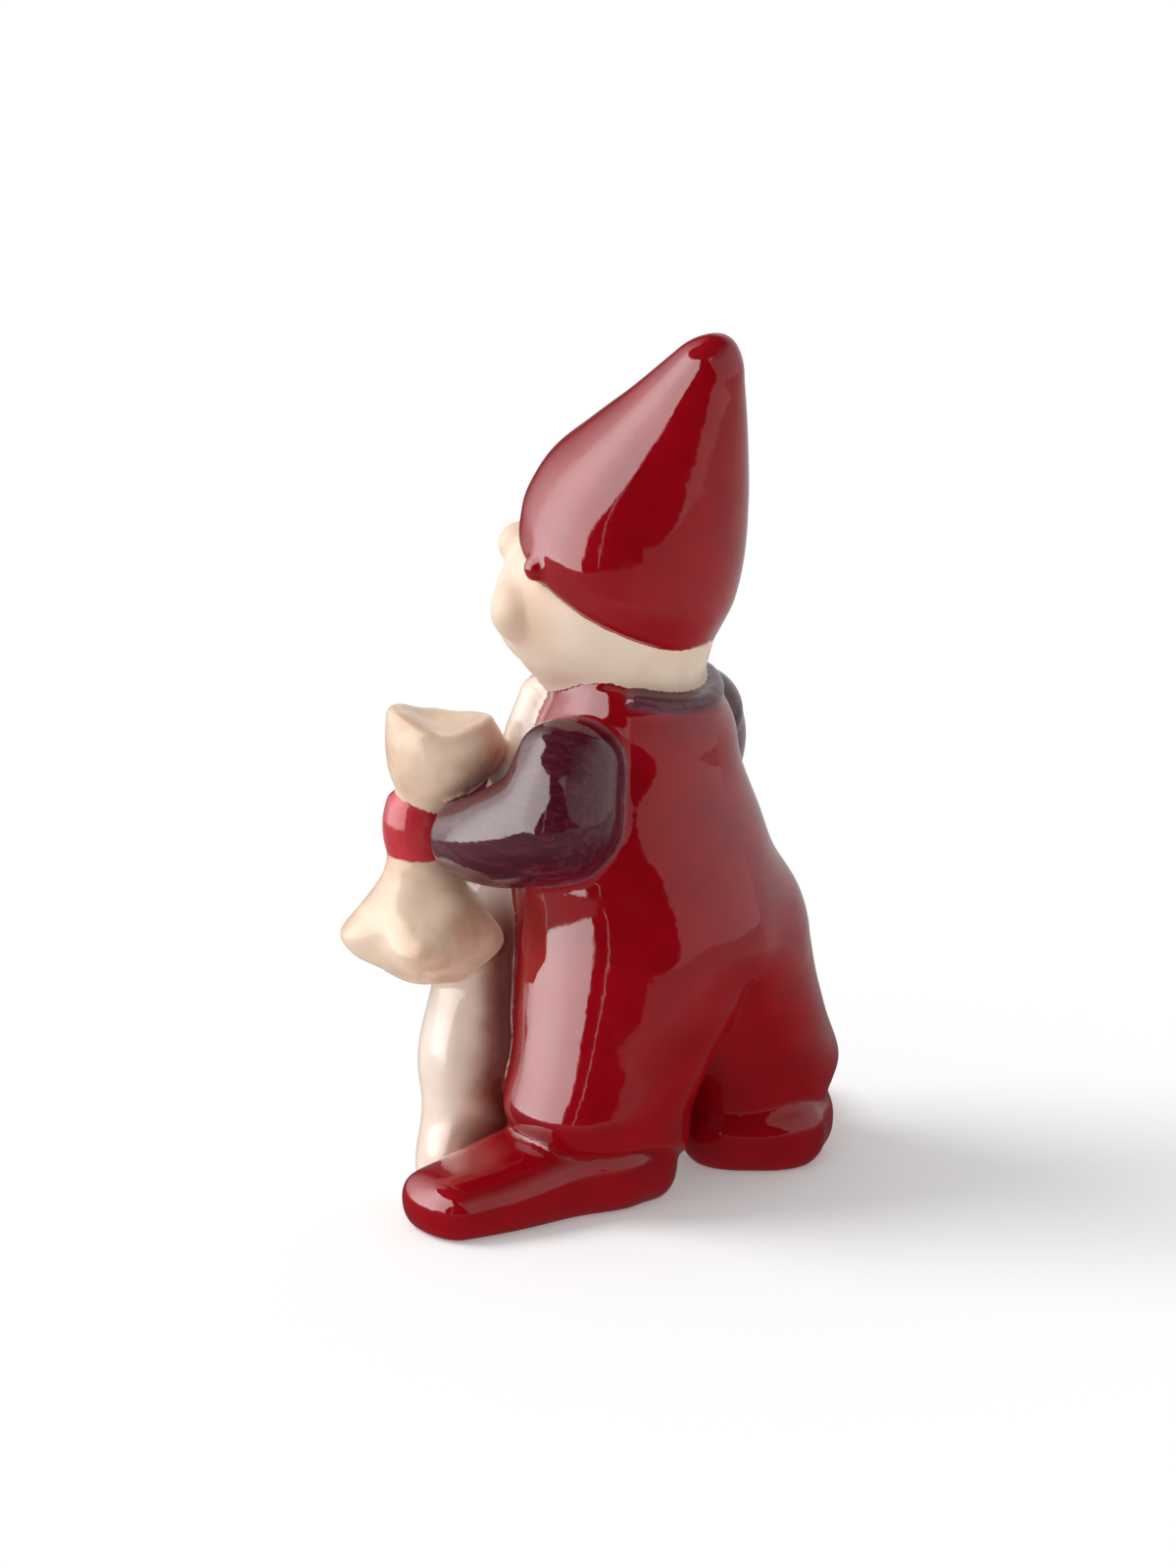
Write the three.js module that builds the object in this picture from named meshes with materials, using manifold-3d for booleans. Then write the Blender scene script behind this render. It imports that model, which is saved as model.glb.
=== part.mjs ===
// Christmas elf figurine in glazed earthenware, standing on two turned-out boots and the foot of its beard.
// The real one is slip-cast in sections that are luted together with slip before the glaze firing, so each
// section is its own solid here, with the seam between two of them left as a fine gap.
// Millimetres and degrees. +Z is up, the elf looks along -Y, and +X is the elf's left.
import * as THREE from "three";
import Module from "manifold-3d";

const wasm = await Module();
wasm.setup();

// Casting
const SEAM = 0.3; // gap left between two luted sections
const WALL = 3.4; // wall that the slip leaves in the mould
const OPENING_REACH = 7; // a hollow runs this far on past the seam that it opens to
const DRAIN_HOLE_RADIUS = 2.5; // hole in each sole and under the beard that lets slip and kiln gases out

// Boots
const BOOT_LENGTH = 49.5; // heel to toe
const BOOT_HALF_WIDTH = 11; // at the ball of the foot
const HEEL_HALF_WIDTH = 13;
const TOE_HEIGHT = 9.8; // thickness of the toe, sole included
const ANKLE_HEIGHT = 12; // top of the boot, under the trouser hem
const LEFT_TURN_OUT = 65; // the toes swing out from straight ahead
const RIGHT_TURN_OUT = 61;
const HEEL_TO_ANKLE = 10.5; // back of the heel to the middle of the leg
const RIGHT_HEEL_TRAIL = 6; // the right heel trails further out behind its leg
const LEFT_BOOT_SPOT = new THREE.Vector2(11.4, 2.9); // where the middle of the heel stands
const RIGHT_BOOT_SPOT = new THREE.Vector2(-20.8, 14.2);

// Trouser legs
const LEFT_ANKLE = new THREE.Vector2(14.2, 2.6); // middle of the hem
const RIGHT_ANKLE = new THREE.Vector2(-19.7, 12); // the right leg stands further back, as in a stride
const LEFT_HIP = new THREE.Vector2(5.3, 5); // middle of the thigh where it runs into the seat
const RIGHT_HIP = new THREE.Vector2(-8.9, 8);
const HEM_RADIUS = 15;
const HEM_HEIGHT = 11; // lower edge of the hem at the instep
const HEM_DROP = 4.5; // the hem hangs lower over the heel
const CALF_RADIUS = 16;
const THIGH_RADIUS = 20.3;
const HIP_HEIGHT = 40;

// Body of the suit
const SEAT_HEIGHT = 33; // lowest point between the legs
const SEAT_HALF_WIDTH = 24.8;
const SEAT_HALF_DEPTH = 23;
const SEAT_BACK = 6.4; // the body leans forward from the seat
const SEAT_RISE = 14.5; // from there up to the widest girth
const CHEST_HEIGHT = 71;
const CHEST_HALF_WIDTH = 19.5;
const CHEST_HALF_DEPTH = 17.3;
const SHOULDER_HEIGHT = 89;
const SHOULDER_HALF_WIDTH = 14;
const SHOULDER_HALF_DEPTH = 11.4;

// Neck and shirt collar
const NECK_RADIUS = 12.4;
const NECK_INSERTION = 8; // how far the neck reaches down into the suit
const COLLAR_RADIUS = 13.6;
const COLLAR_THICKNESS = 3.4;
const COLLAR_END_ANGLE = 32; // its two ends, behind straight left and right
const COLLAR_BACK = 1.4; // middle of its curve behind the body's axis
const COLLAR_SINK = 1.2; // bedded below the top of the shoulders
const COLLAR_TILT = 16; // the neckline is lower at the back

// Head
const HEAD_RADIUS = 17.4;
const HEAD_RISE = 9.6; // centre of the head above the shoulders
const HEAD_FORWARD = 4; // centre of the head in front of the body's axis
const MUZZLE_RADIUS = 12; // pad of the moustache, over the mouth
const MUZZLE_FORWARD = 8.3; // centre of the muzzle in front of the centre of the head
const CHEEK_RADIUS = 6.3; // puff at each end of the moustache
const CHEEK_SPREAD = 9.7; // sideways from the middle of the face
const NOSE_RADIUS = 3.9;
const NOSE_RISE = 8.4; // above the centre of the head

// Hat
const HAT_TILT = 30; // the rim drops towards the back of the head
const HAT_RISE = 4.5; // middle of the rim above the centre of the head
const HAT_OVERHANG = 1.2; // the rim stands proud of the head
const HAT_SLANT_HEIGHT = 49; // rim to tip, square to the rim
const HAT_SWELL = 1.043; // widest girth, as a share of the rim's
const HAT_SLOUCH = 5; // the tip hangs forward of the rim's axis
const HAT_TIP_RADIUS = 4.7;
const TEMPLE_NUB_RADIUS = 2.1; // small ear where the rim ends at each temple

// Sleeves and mittens
const UPPER_ARM_RADIUS = 9;
const SHOULDER_CAP_RADIUS = 8.3;
const ELBOW_RADIUS = 10.9;
const CUFF_RADIUS = 6.4;
const SHOULDER_OUT = 19.4; // middle of the upper arm from the body's axis
const ELBOW_OUT = 25;
const SHOULDER_DROP = 13.5; // top of the arm below the shoulder line
const ELBOW_DROP = 22.3;
const CUFF_DROP = 28.2;
const MITTEN_RADIUS = 5.9;
const MITTEN_HEIGHT = 15.6;

// Sack
const SACK_NECK = new THREE.Vector3(17.5, -30.8, 58.5);
const SACK_NECK_RADIUS = 4.4;
const SACK_MOUTH_RADIUS = 9.5;
const SACK_MOUTH_RISE = 20.6; // neck to rim
const SACK_DISH_DEPTH = 2.4; // hollow in the top of the mouth
const SACK_BODY_RADIUS = 13;
const SACK_BODY_DROP = 23.4; // neck to the bottom of the sack
const SACK_CORNER = 0.22; // how far a corner stands out, as a share of the body's radius

// Beard
const BEARD_TOP_HALF_WIDTH = 8;
const BEARD_TOP_FORWARD = 13.5; // middle of the beard's top in front of the body's axis
const BEARD_FOOT_HALF_WIDTH = 23.7;
const BEARD_FOOT_HALF_DEPTH = 12;
const BEARD_FOOT_FORWARD = 22.3; // middle of the beard's foot in front of the body's axis
const BEARD_DRAIN_FORWARD = 24.5; // middle of the hole under it

const radians = THREE.MathUtils.degToRad;
const vec = (x, y, z) => new THREE.Vector3(x, y, z);
const SIDE = vec(1, 0, 0);
const UP = vec(0, 0, 1);
const LEFT = 1;
const RIGHT = -1;

// A closed skin through oval rings set along a smooth spine. A station is { at, w, d }: the ring's centre,
// its half-width along `side` and its half-depth square to that. `normal` fixes the rings' plane; without it
// each ring stands square to the spine. `startCap` and `endCap` are the heights of the rounded ends.
// `shape(angle, along)` scales a ring's radius, and `grow` moves the whole skin outwards.
function sweep({ stations, side = SIDE, normal = null, rings = 12, points = 24, capRings = 3,
  startCap = 0, endCap = 0, squareness = 2, shape = () => 1, lift = () => 0, grow = 0 }) {
  const spine = new THREE.CatmullRomCurve3(stations.map((s) => s.at), false, "catmullrom", 0.5);
  const girth = new THREE.CatmullRomCurve3(stations.map((s) => vec(s.w, s.d, 0)), false, "catmullrom", 0.5);
  const positions = [];
  const addRing = (along, shrink, push) => {
    const up = (normal ?? spine.getTangent(along)).clone().normalize();
    const across = side.clone().addScaledVector(up, -side.dot(up)).normalize();
    const front = up.clone().cross(across);
    const centre = spine.getPoint(along).addScaledVector(up, push);
    const size = girth.getPoint(along);
    for (let i = 0; i < points; i++) {
      const angle = (2 * Math.PI * i) / points;
      const swell = shape(angle, along) * shrink;
      const round = (value) => Math.sign(value) * Math.abs(value) ** (2 / squareness);
      const p = centre.clone()
        .addScaledVector(across, (size.x * swell + grow * shrink) * round(Math.cos(angle)))
        .addScaledVector(front, (size.y * swell + grow * shrink) * round(Math.sin(angle)))
        .addScaledVector(up, lift(angle, along) * shrink);
      positions.push(p.x, p.y, p.z);
    }
  };
  const addPole = (along, push) => {
    const up = (normal ?? spine.getTangent(along)).clone().normalize();
    const p = spine.getPoint(along).addScaledVector(up, push);
    positions.push(p.x, p.y, p.z);
  };
  const startHeight = startCap + grow;
  const endHeight = endCap + grow;
  addPole(0, -startHeight);
  const capSteps = (height) => (height > 0.01 ? capRings : 0);
  for (let k = capSteps(startCap); k > 0; k--) {
    const turn = (Math.PI / 2) * (k / (capRings + 1));
    addRing(0, Math.cos(turn), -startHeight * Math.sin(turn));
  }
  const first = capSteps(startCap) ? 0 : -grow;
  const last = capSteps(endCap) ? 0 : grow;
  for (let k = 0; k <= rings; k++) addRing(k / rings, 1, k === 0 ? first : k === rings ? last : 0);
  for (let k = 1; k <= capSteps(endCap); k++) {
    const turn = (Math.PI / 2) * (k / (capRings + 1));
    addRing(1, Math.cos(turn), endHeight * Math.sin(turn));
  }
  addPole(1, endHeight);
  const ringCount = (positions.length / 3 - 2) / points;
  const index = [];
  const at = (ring, i) => 1 + ring * points + (i % points);
  for (let i = 0; i < points; i++) {
    index.push(0, at(0, i + 1), at(0, i));
    for (let r = 0; r < ringCount - 1; r++) {
      index.push(at(r, i), at(r, i + 1), at(r + 1, i + 1), at(r, i), at(r + 1, i + 1), at(r + 1, i));
    }
    index.push(1 + ringCount * points, at(ringCount - 1, i), at(ringCount - 1, i + 1));
  }
  return solidFrom(new Float32Array(positions), new Uint32Array(index));
}

function solidFrom(vertProperties, triVerts) {
  return new wasm.Manifold(new wasm.Mesh({ numProp: 3, vertProperties, triVerts }));
}

// A three.js geometry as a solid, with its shared corners joined by position.
function solidOf(geometry) {
  const corners = new Map();
  const positions = [];
  const source = geometry.index ? geometry.toNonIndexed() : geometry;
  const p = source.getAttribute("position");
  const triangles = [];
  for (let i = 0; i < p.count; i++) {
    const key = [p.getX(i), p.getY(i), p.getZ(i)].map((value) => Math.round(value * 10000)).join();
    if (!corners.has(key)) {
      corners.set(key, positions.length / 3);
      positions.push(p.getX(i), p.getY(i), p.getZ(i));
    }
    triangles.push(corners.get(key));
  }
  const faces = [];
  for (let i = 0; i < triangles.length; i += 3) {
    const [a, b, c] = triangles.slice(i, i + 3);
    if (a !== b && b !== c && c !== a) faces.push(a, b, c);
  }
  return solidFrom(new Float32Array(positions), new Uint32Array(faces));
}

// A ball or egg, with its own radii along X, Y and Z.
function egg(centre, radii, grow = 0, segments = 20) {
  const geometry = new THREE.SphereGeometry(1, segments, Math.round(segments * 0.6));
  geometry.rotateX(Math.PI / 2);
  geometry.scale(radii.x + grow, radii.y + grow, radii.z + grow);
  geometry.translate(centre.x, centre.y, centre.z);
  return solidOf(geometry);
}

// Everything on the far side of a plane: a large block whose near face lies on the plane.
function beyond(point, normal) {
  const reach = 400;
  const geometry = new THREE.BoxGeometry(reach, reach, reach);
  geometry.translate(0, 0, reach / 2);
  geometry.applyQuaternion(new THREE.Quaternion().setFromUnitVectors(UP, normal.clone().normalize()));
  geometry.translate(point.x, point.y, point.z);
  return solidOf(geometry);
}

const join = (...solids) => solids.reduce((whole, next) => whole.add(next));
const cut = (solid, ...tools) => tools.reduce((rest, tool) => rest.subtract(tool), solid);
const belowFloor = beyond(vec(0, 0, 0), vec(0, 0, -1));

// Boots: a sweep from heel to toe, flattened on the floor.
function bootAxis(hand) {
  const swing = radians(hand === LEFT ? LEFT_TURN_OUT : RIGHT_TURN_OUT);
  return vec(hand * Math.sin(swing), -Math.cos(swing), 0);
}

const ankleOf = (hand) => (hand === LEFT ? LEFT_ANKLE : RIGHT_ANKLE);
const hipOf = (hand) => (hand === LEFT ? LEFT_HIP : RIGHT_HIP);
const bootSpotOf = (hand) => (hand === LEFT ? LEFT_BOOT_SPOT : RIGHT_BOOT_SPOT);

function bootSkin(hand, grow = 0, detail = 1) {
  const spot = bootSpotOf(hand);
  const axis = bootAxis(hand);
  const across = UP.clone().cross(axis);
  const heelReach = HEEL_TO_ANKLE + (hand === RIGHT ? RIGHT_HEEL_TRAIL : 0);
  const station = (fromHeel, halfWidth, height) => ({
    at: vec(spot.x, spot.y, height * 0.43).addScaledVector(axis, fromHeel - heelReach),
    w: halfWidth,
    d: height * 0.57,
  });
  const heelRound = 7.5;
  const toeRound = 5.5;
  return sweep({
    stations: [
      station(heelRound, HEEL_HALF_WIDTH * 0.9, ANKLE_HEIGHT + 1.6),
      station(heelRound + 7, HEEL_HALF_WIDTH, ANKLE_HEIGHT + 3),
      station(BOOT_LENGTH * 0.48, BOOT_HALF_WIDTH, ANKLE_HEIGHT + 1.6),
      station(BOOT_LENGTH * 0.7, BOOT_HALF_WIDTH * 0.96, TOE_HEIGHT + 1.6),
      station(BOOT_LENGTH - toeRound, BOOT_HALF_WIDTH * 0.82, TOE_HEIGHT),
    ],
    side: across, startCap: heelRound, endCap: toeRound, squareness: 2.5, grow,
    rings: Math.round(8 * detail), points: Math.round(20 * detail), capRings: detail < 1 ? 2 : 3,
  });
}

// Trouser legs run down from the seat to a rolled hem that drapes over the heel of the boot.
function legSkin(hand, grow = 0, reachBelow = 0, detail = 1) {
  const ankle = ankleOf(hand);
  const hip = vec(hipOf(hand).x, hipOf(hand).y, HIP_HEIGHT);
  const heel = bootAxis(hand).negate();
  const heelAngle = Math.atan2(heel.y, heel.x);
  const low = vec(ankle.x, ankle.y, HEM_HEIGHT + 1.6);
  const lerp = (share) => low.clone().lerp(hip, share);
  const station = (at, radius) => ({ at, w: radius, d: radius });
  const stations = [
    station(low.clone().setZ(low.z - reachBelow), HEM_RADIUS),
    station(vec(ankle.x, ankle.y, low.z + 4.5), CALF_RADIUS),
    station(lerp(0.45).add(vec(ankle.x * 0.05, 0, 0)), CALF_RADIUS * 1.07),
    station(lerp(0.75), THIGH_RADIUS * 0.94),
    station(hip, THIGH_RADIUS),
  ];
  return sweep({
    stations, normal: UP, startCap: 1.6, endCap: 13, grow,
    rings: Math.round(9 * detail), points: Math.round(24 * detail), capRings: 2,
    lift: (angle, along) => -HEM_DROP * Math.max(0, 1 - along / 0.3) ** 1.5
      * Math.max(0, Math.cos(angle - heelAngle)) ** 1.5,
  });
}

function torsoSkin(grow = 0, detail = 1) {
  const station = (y, z, w, d) => ({ at: vec(0, y, z), w, d });
  const seatTop = SEAT_HEIGHT + SEAT_RISE;
  const up = (share) => seatTop + (CHEST_HEIGHT - seatTop) * share;
  const lean = (share) => 1.5 + (SEAT_BACK - 1.5) * share;
  const between = (low, high, share) => low + (high - low) * share;
  const width = (share) => between(SEAT_HALF_WIDTH, CHEST_HALF_WIDTH, share);
  const depth = (share) => between(SEAT_HALF_DEPTH, CHEST_HALF_DEPTH, share);
  const over = (share) => between(CHEST_HEIGHT, SHOULDER_HEIGHT - 1.5, share);
  return sweep({
    stations: [
      station(lean(1), SEAT_HEIGHT + 2.4, SEAT_HALF_WIDTH * 0.7, SEAT_HALF_DEPTH * 0.64),
      station(lean(1), SEAT_HEIGHT + SEAT_RISE * 0.5, SEAT_HALF_WIDTH * 0.9, SEAT_HALF_DEPTH * 0.9),
      station(lean(0.66), seatTop, SEAT_HALF_WIDTH, SEAT_HALF_DEPTH),
      station(lean(0.22), up(0.5), width(0.36), depth(0.52)),
      station(lean(0), CHEST_HEIGHT, CHEST_HALF_WIDTH, CHEST_HALF_DEPTH),
      station(lean(0), over(0.45), CHEST_HALF_WIDTH * 0.95, CHEST_HALF_DEPTH * 0.94),
      station(lean(0), over(0.72), CHEST_HALF_WIDTH * 0.85, CHEST_HALF_DEPTH * 0.83),
      station(lean(0), over(1), SHOULDER_HALF_WIDTH, SHOULDER_HALF_DEPTH),
    ],
    normal: UP, startCap: 2.4, endCap: 1.5, grow,
    rings: Math.round(15 * detail), points: Math.round(32 * detail), capRings: 2,
  });
}

function suitSkin(grow = 0) {
  return join(torsoSkin(grow), legSkin(LEFT, grow), legSkin(RIGHT, grow));
}

// The neckline slopes down to the back, and the shirt collar lies on it.
const necklineAxis = vec(0, Math.sin(radians(COLLAR_TILT)), Math.cos(radians(COLLAR_TILT)));

// Head, in the tilted frame of a face that looks slightly up.
const headCentre = vec(0, -HEAD_FORWARD, SHOULDER_HEIGHT + HEAD_RISE);
const hatAxis = vec(0, Math.sin(radians(HAT_TILT)), Math.cos(radians(HAT_TILT)));
const rimCentre = headCentre.clone().addScaledVector(hatAxis, HAT_RISE);
const rimRadius = HEAD_RADIUS + HAT_OVERHANG;

function neckSkin(grow = 0, reachBelow = 0, detail = 1) {
  const low = SHOULDER_HEIGHT - NECK_INSERTION - reachBelow;
  const station = (y, z, r) => ({ at: vec(0, y, z), w: r, d: r });
  return sweep({
    stations: [
      station(0.6, low, NECK_RADIUS * 0.93),
      station(0.9, SHOULDER_HEIGHT - 3, NECK_RADIUS * 0.95),
      station(1.4, headCentre.z - 2, NECK_RADIUS * 1.12),
    ],
    normal: UP, rings: 4, points: Math.round(24 * detail), grow,
  });
}

function headSkin(grow = 0) {
  return egg(headCentre, vec(HEAD_RADIUS, HEAD_RADIUS, HEAD_RADIUS), grow, 26);
}

// Moustache: a rounded pad over the mouth with a puff at each end.
function moustacheSkin(grow = 0) {
  const r = MUZZLE_RADIUS;
  const pad = egg(headCentre.clone().add(vec(0, -MUZZLE_FORWARD, -1.6)), vec(r * 0.94, r, r), grow, 20);
  const puffs = [LEFT, RIGHT].map((hand) => egg(
    headCentre.clone().add(vec(hand * CHEEK_SPREAD, -MUZZLE_FORWARD - 0.6, 0)),
    vec(CHEEK_RADIUS * 1.25, CHEEK_RADIUS * 1.03, CHEEK_RADIUS), grow, 18,
  ));
  return join(pad, ...puffs);
}

function noseSkin() {
  const centre = headCentre.clone().add(vec(0, -HEAD_RADIUS + 1.1, NOSE_RISE));
  return egg(centre, vec(NOSE_RADIUS, NOSE_RADIUS * 1.1, NOSE_RADIUS), 0, 14);
}

// Hat: rings parallel to the rim, whose centres drift forward of the axis towards the tip.
function hatSkin(grow = 0, reachBelow = 0, detail = 1) {
  const station = (share, slouch, radius) => ({
    at: rimCentre.clone()
      .addScaledVector(hatAxis, HAT_SLANT_HEIGHT * share)
      .add(vec(0, -HAT_SLOUCH * slouch, 0)),
    w: radius,
    d: radius,
  });
  const widest = rimRadius * HAT_SWELL;
  return sweep({
    stations: [
      station(-reachBelow / HAT_SLANT_HEIGHT, 0, rimRadius),
      station(0.159, 0.3, widest),
      station(0.318, 0.5, widest * 0.936),
      station(0.486, 0.55, widest * 0.768),
      station(0.654, 0.65, widest * 0.562),
      station(0.803, 0.82, widest * 0.388),
      station(0.9, 0.96, HAT_TIP_RADIUS),
    ],
    normal: hatAxis, endCap: HAT_SLANT_HEIGHT * 0.106, grow,
    rings: Math.round(14 * detail), points: Math.round(30 * detail),
  });
}

function templeNub(hand) {
  const turn = radians(-24);
  const centre = rimCentre.clone()
    .add(vec(hand * Math.cos(turn), Math.sin(turn) * hatAxis.z, -Math.sin(turn) * hatAxis.y)
      .multiplyScalar(rimRadius + 0.2))
    .addScaledVector(hatAxis, TEMPLE_NUB_RADIUS * 0.6);
  const r = TEMPLE_NUB_RADIUS;
  return cut(egg(centre, vec(r * 0.9, r * 0.9, r * 1.15), 0, 12), headSkin(SEAM));
}

// Collar of the shirt: an arc bedded in the seam round the back of the neck, its round ends under the straps.
function collarSkin(grow = 0) {
  const across = SIDE.clone().multiplyScalar(COLLAR_RADIUS);
  const back = necklineAxis.clone().cross(SIDE).multiplyScalar(COLLAR_RADIUS);
  const stations = [];
  const steps = 8;
  for (let i = 0; i <= steps; i++) {
    const turn = radians(COLLAR_END_ANGLE + ((180 - 2 * COLLAR_END_ANGLE) * i) / steps);
    const at = vec(0, COLLAR_BACK, SHOULDER_HEIGHT - COLLAR_SINK)
      .addScaledVector(across, Math.cos(turn)).addScaledVector(back, Math.sin(turn));
    stations.push({ at, w: COLLAR_THICKNESS / 2, d: COLLAR_THICKNESS / 2 });
  }
  const round = COLLAR_THICKNESS * 0.6;
  return sweep({ stations, side: necklineAxis, startCap: round, endCap: round, rings: 14, points: 10, capRings: 2, grow });
}

// Sleeves bend at the elbow and bring both cuffs to the neck of the sack.
function sleeveSkin(hand, grow = 0) {
  const left = hand === LEFT;
  const shoulder = vec(hand * SHOULDER_OUT, left ? -0.8 : 3.2, SHOULDER_HEIGHT - SHOULDER_DROP);
  const elbow = vec(hand * ELBOW_OUT, left ? 1.6 : -4, SHOULDER_HEIGHT - ELBOW_DROP);
  const cuff = cuffOf(hand);
  const along = (from, to, share, bulge = 0) => from.clone().lerp(to, share).add(vec(hand * bulge, 0, -bulge * 0.6));
  const station = (at, radius) => ({ at, w: radius, d: radius });
  const upperArm = sweep({
    stations: [
      station(shoulder, SHOULDER_CAP_RADIUS),
      station(along(shoulder, elbow, 0.5, 0.6), UPPER_ARM_RADIUS * 1.06),
      station(elbow, ELBOW_RADIUS),
    ],
    startCap: SHOULDER_CAP_RADIUS * 0.85, endCap: ELBOW_RADIUS * 0.9, rings: 5, points: 18, grow,
  });
  const forearm = sweep({
    stations: [
      station(elbow, ELBOW_RADIUS),
      station(along(elbow, cuff, 0.3, 1), UPPER_ARM_RADIUS * 1.08),
      station(along(elbow, cuff, 0.62, 1.2), UPPER_ARM_RADIUS * 0.92),
      station(cuff, CUFF_RADIUS),
    ],
    startCap: ELBOW_RADIUS * 0.9, endCap: CUFF_RADIUS * 0.5, rings: 7, points: 18, grow,
  });
  return join(upperArm, forearm);
}

function cuffOf(hand) {
  const height = SHOULDER_HEIGHT - CUFF_DROP;
  return hand === LEFT
    ? vec(SACK_NECK.x + 4.2, SACK_NECK.y + 11.4, height)
    : vec(SACK_NECK.x - 15.5, SACK_NECK.y - 1.5, height - 3);
}

// Mittens: the left one is wrapped round the neck of the sack, the right one closes on it from the side.
function mittenSkin(hand, grow = 0) {
  const r = MITTEN_RADIUS;
  if (hand === RIGHT) {
    return egg(SACK_NECK.clone().add(vec(-7.4, -2.4, -1.4)), vec(r, r * 0.85, MITTEN_HEIGHT * 0.36), grow, 18);
  }
  const station = (share, w) => ({ at: SACK_NECK.clone().add(vec(0.4, 0.7, MITTEN_HEIGHT * share + 1)), w, d: w });
  return sweep({
    stations: [station(-0.36, r * 0.74), station(-0.12, r * 0.98), station(0.14, r * 1.02), station(0.36, r * 0.9)],
    normal: UP, startCap: MITTEN_HEIGHT * 0.13, endCap: MITTEN_HEIGHT * 0.13, rings: 7, points: 20, capRings: 2, grow,
  });
}

// Sack: gathered at the neck, flared into a wavy dished mouth above and hanging in soft corners below.
const mouthCentre = SACK_NECK.clone().add(vec(0.8, 5.4, SACK_MOUTH_RISE));

function sackSkin(grow = 0) {
  const bottom = SACK_NECK.clone().add(vec(2, 4, -SACK_BODY_DROP));
  const station = (at, radius) => ({ at, w: radius, d: radius });
  const toward = (end, share, x = 0, y = 0) => SACK_NECK.clone().lerp(end, share).add(vec(x, y, 0));
  const cornerTurn = radians(-60);
  return sweep({
    stations: [
      station(toward(bottom, 0.94), SACK_BODY_RADIUS * 0.6),
      station(toward(bottom, 0.72, 0.3, 0.2), SACK_BODY_RADIUS * 0.97),
      station(toward(bottom, 0.48, 1.4, 1.4), SACK_BODY_RADIUS * 0.8),
      station(toward(bottom, 0.27, 1.2, 0.8), SACK_BODY_RADIUS * 0.49),
      station(SACK_NECK, SACK_NECK_RADIUS),
      station(toward(mouthCentre, 0.3, -0.3, 0.8), SACK_NECK_RADIUS * 1.1),
      station(toward(mouthCentre, 0.54, -0.5, 1.7), SACK_MOUTH_RADIUS * 0.86),
      station(toward(mouthCentre, 0.78, -0.7, 1.8), SACK_MOUTH_RADIUS * 1.01),
      station(mouthCentre, SACK_MOUTH_RADIUS * 0.88),
    ],
    normal: UP, startCap: 1.6, endCap: 1.2, rings: 18, points: 24, capRings: 2, grow,
    shape: (angle, along) => {
      const fold = Math.cos(4 * (angle - cornerTurn));
      const lowCorners = Math.exp(-(((along - 0.13) / 0.11) ** 2));
      const highCorners = Math.max(0, (along - 0.7) / 0.3);
      const longest = 0.5 + 0.5 * Math.cos(angle - cornerTurn);
      return 1 + SACK_CORNER * lowCorners * fold * (0.35 + 0.65 * longest) + 0.06 * highCorners * fold;
    },
    lift: (angle, along) => Math.max(0, (along - 0.85) / 0.15)
      * (1.6 * Math.cos(2 * (angle - cornerTurn)) + 0.9 * Math.cos(angle - cornerTurn)),
  });
}

// The twisted cloth inside the grip, which joins the mouth of the sack to its body.
function sackNeckCore(grow = 0) {
  const station = (z) => ({ at: SACK_NECK.clone().add(vec(0, 0, z)), w: SACK_NECK_RADIUS * 0.82, d: SACK_NECK_RADIUS * 0.82 });
  return sweep({ stations: [station(-MITTEN_HEIGHT * 0.6), station(MITTEN_HEIGHT * 0.6)], normal: UP, rings: 2, points: 16, grow });
}

function sackDish() {
  const r = SACK_MOUTH_RADIUS * 0.66;
  return egg(mouthCentre.clone().add(vec(0, 0, 2.6)), vec(r, r, SACK_DISH_DEPTH + 2), 0, 18);
}

// Beard: falls from under the chin and spreads to a foot on the floor, with a soft wave in its edge.
function beardSkin(grow = 0, detail = 1, reachBelow = 2) {
  const chin = headCentre.z - HEAD_RADIUS + 6;
  const station = (y, z, w, d) => ({ at: vec(0, y, z), w, d });
  const foot = -BEARD_FOOT_FORWARD;
  return sweep({
    stations: [
      station(foot, -reachBelow, BEARD_FOOT_HALF_WIDTH + 1, BEARD_FOOT_HALF_DEPTH + 0.6),
      station(foot, chin * 0.13, BEARD_FOOT_HALF_WIDTH, BEARD_FOOT_HALF_DEPTH),
      station(foot, chin * 0.27, BEARD_FOOT_HALF_WIDTH - 0.6, BEARD_FOOT_HALF_DEPTH),
      station(foot + 1, chin * 0.45, BEARD_FOOT_HALF_WIDTH * 0.82, BEARD_FOOT_HALF_DEPTH * 0.85),
      station((foot - BEARD_TOP_FORWARD) / 2, chin * 0.7, BEARD_FOOT_HALF_WIDTH * 0.62, BEARD_FOOT_HALF_DEPTH * 0.7),
      station(-BEARD_TOP_FORWARD, chin * 0.95, BEARD_TOP_HALF_WIDTH, BEARD_TOP_HALF_WIDTH * 0.63),
    ],
    normal: UP, endCap: 3, grow,
    rings: Math.round(13 * detail), points: Math.round(20 * detail), capRings: 2,
    shape: (angle, along) => 1 + 0.02 * Math.sin(along * 23) * (1 - along),
  });
}

const aboveSole = beyond(vec(0, 0, WALL), vec(0, 0, -1));

// Upright hole through a sole, which opens the hollow above it.
function drainHole(x, y) {
  const drain = new THREE.CylinderGeometry(DRAIN_HOLE_RADIUS, DRAIN_HOLE_RADIUS, 3 * WALL, 16);
  drain.rotateX(Math.PI / 2);
  drain.translate(x, y, WALL);
  return solidOf(drain);
}

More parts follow.
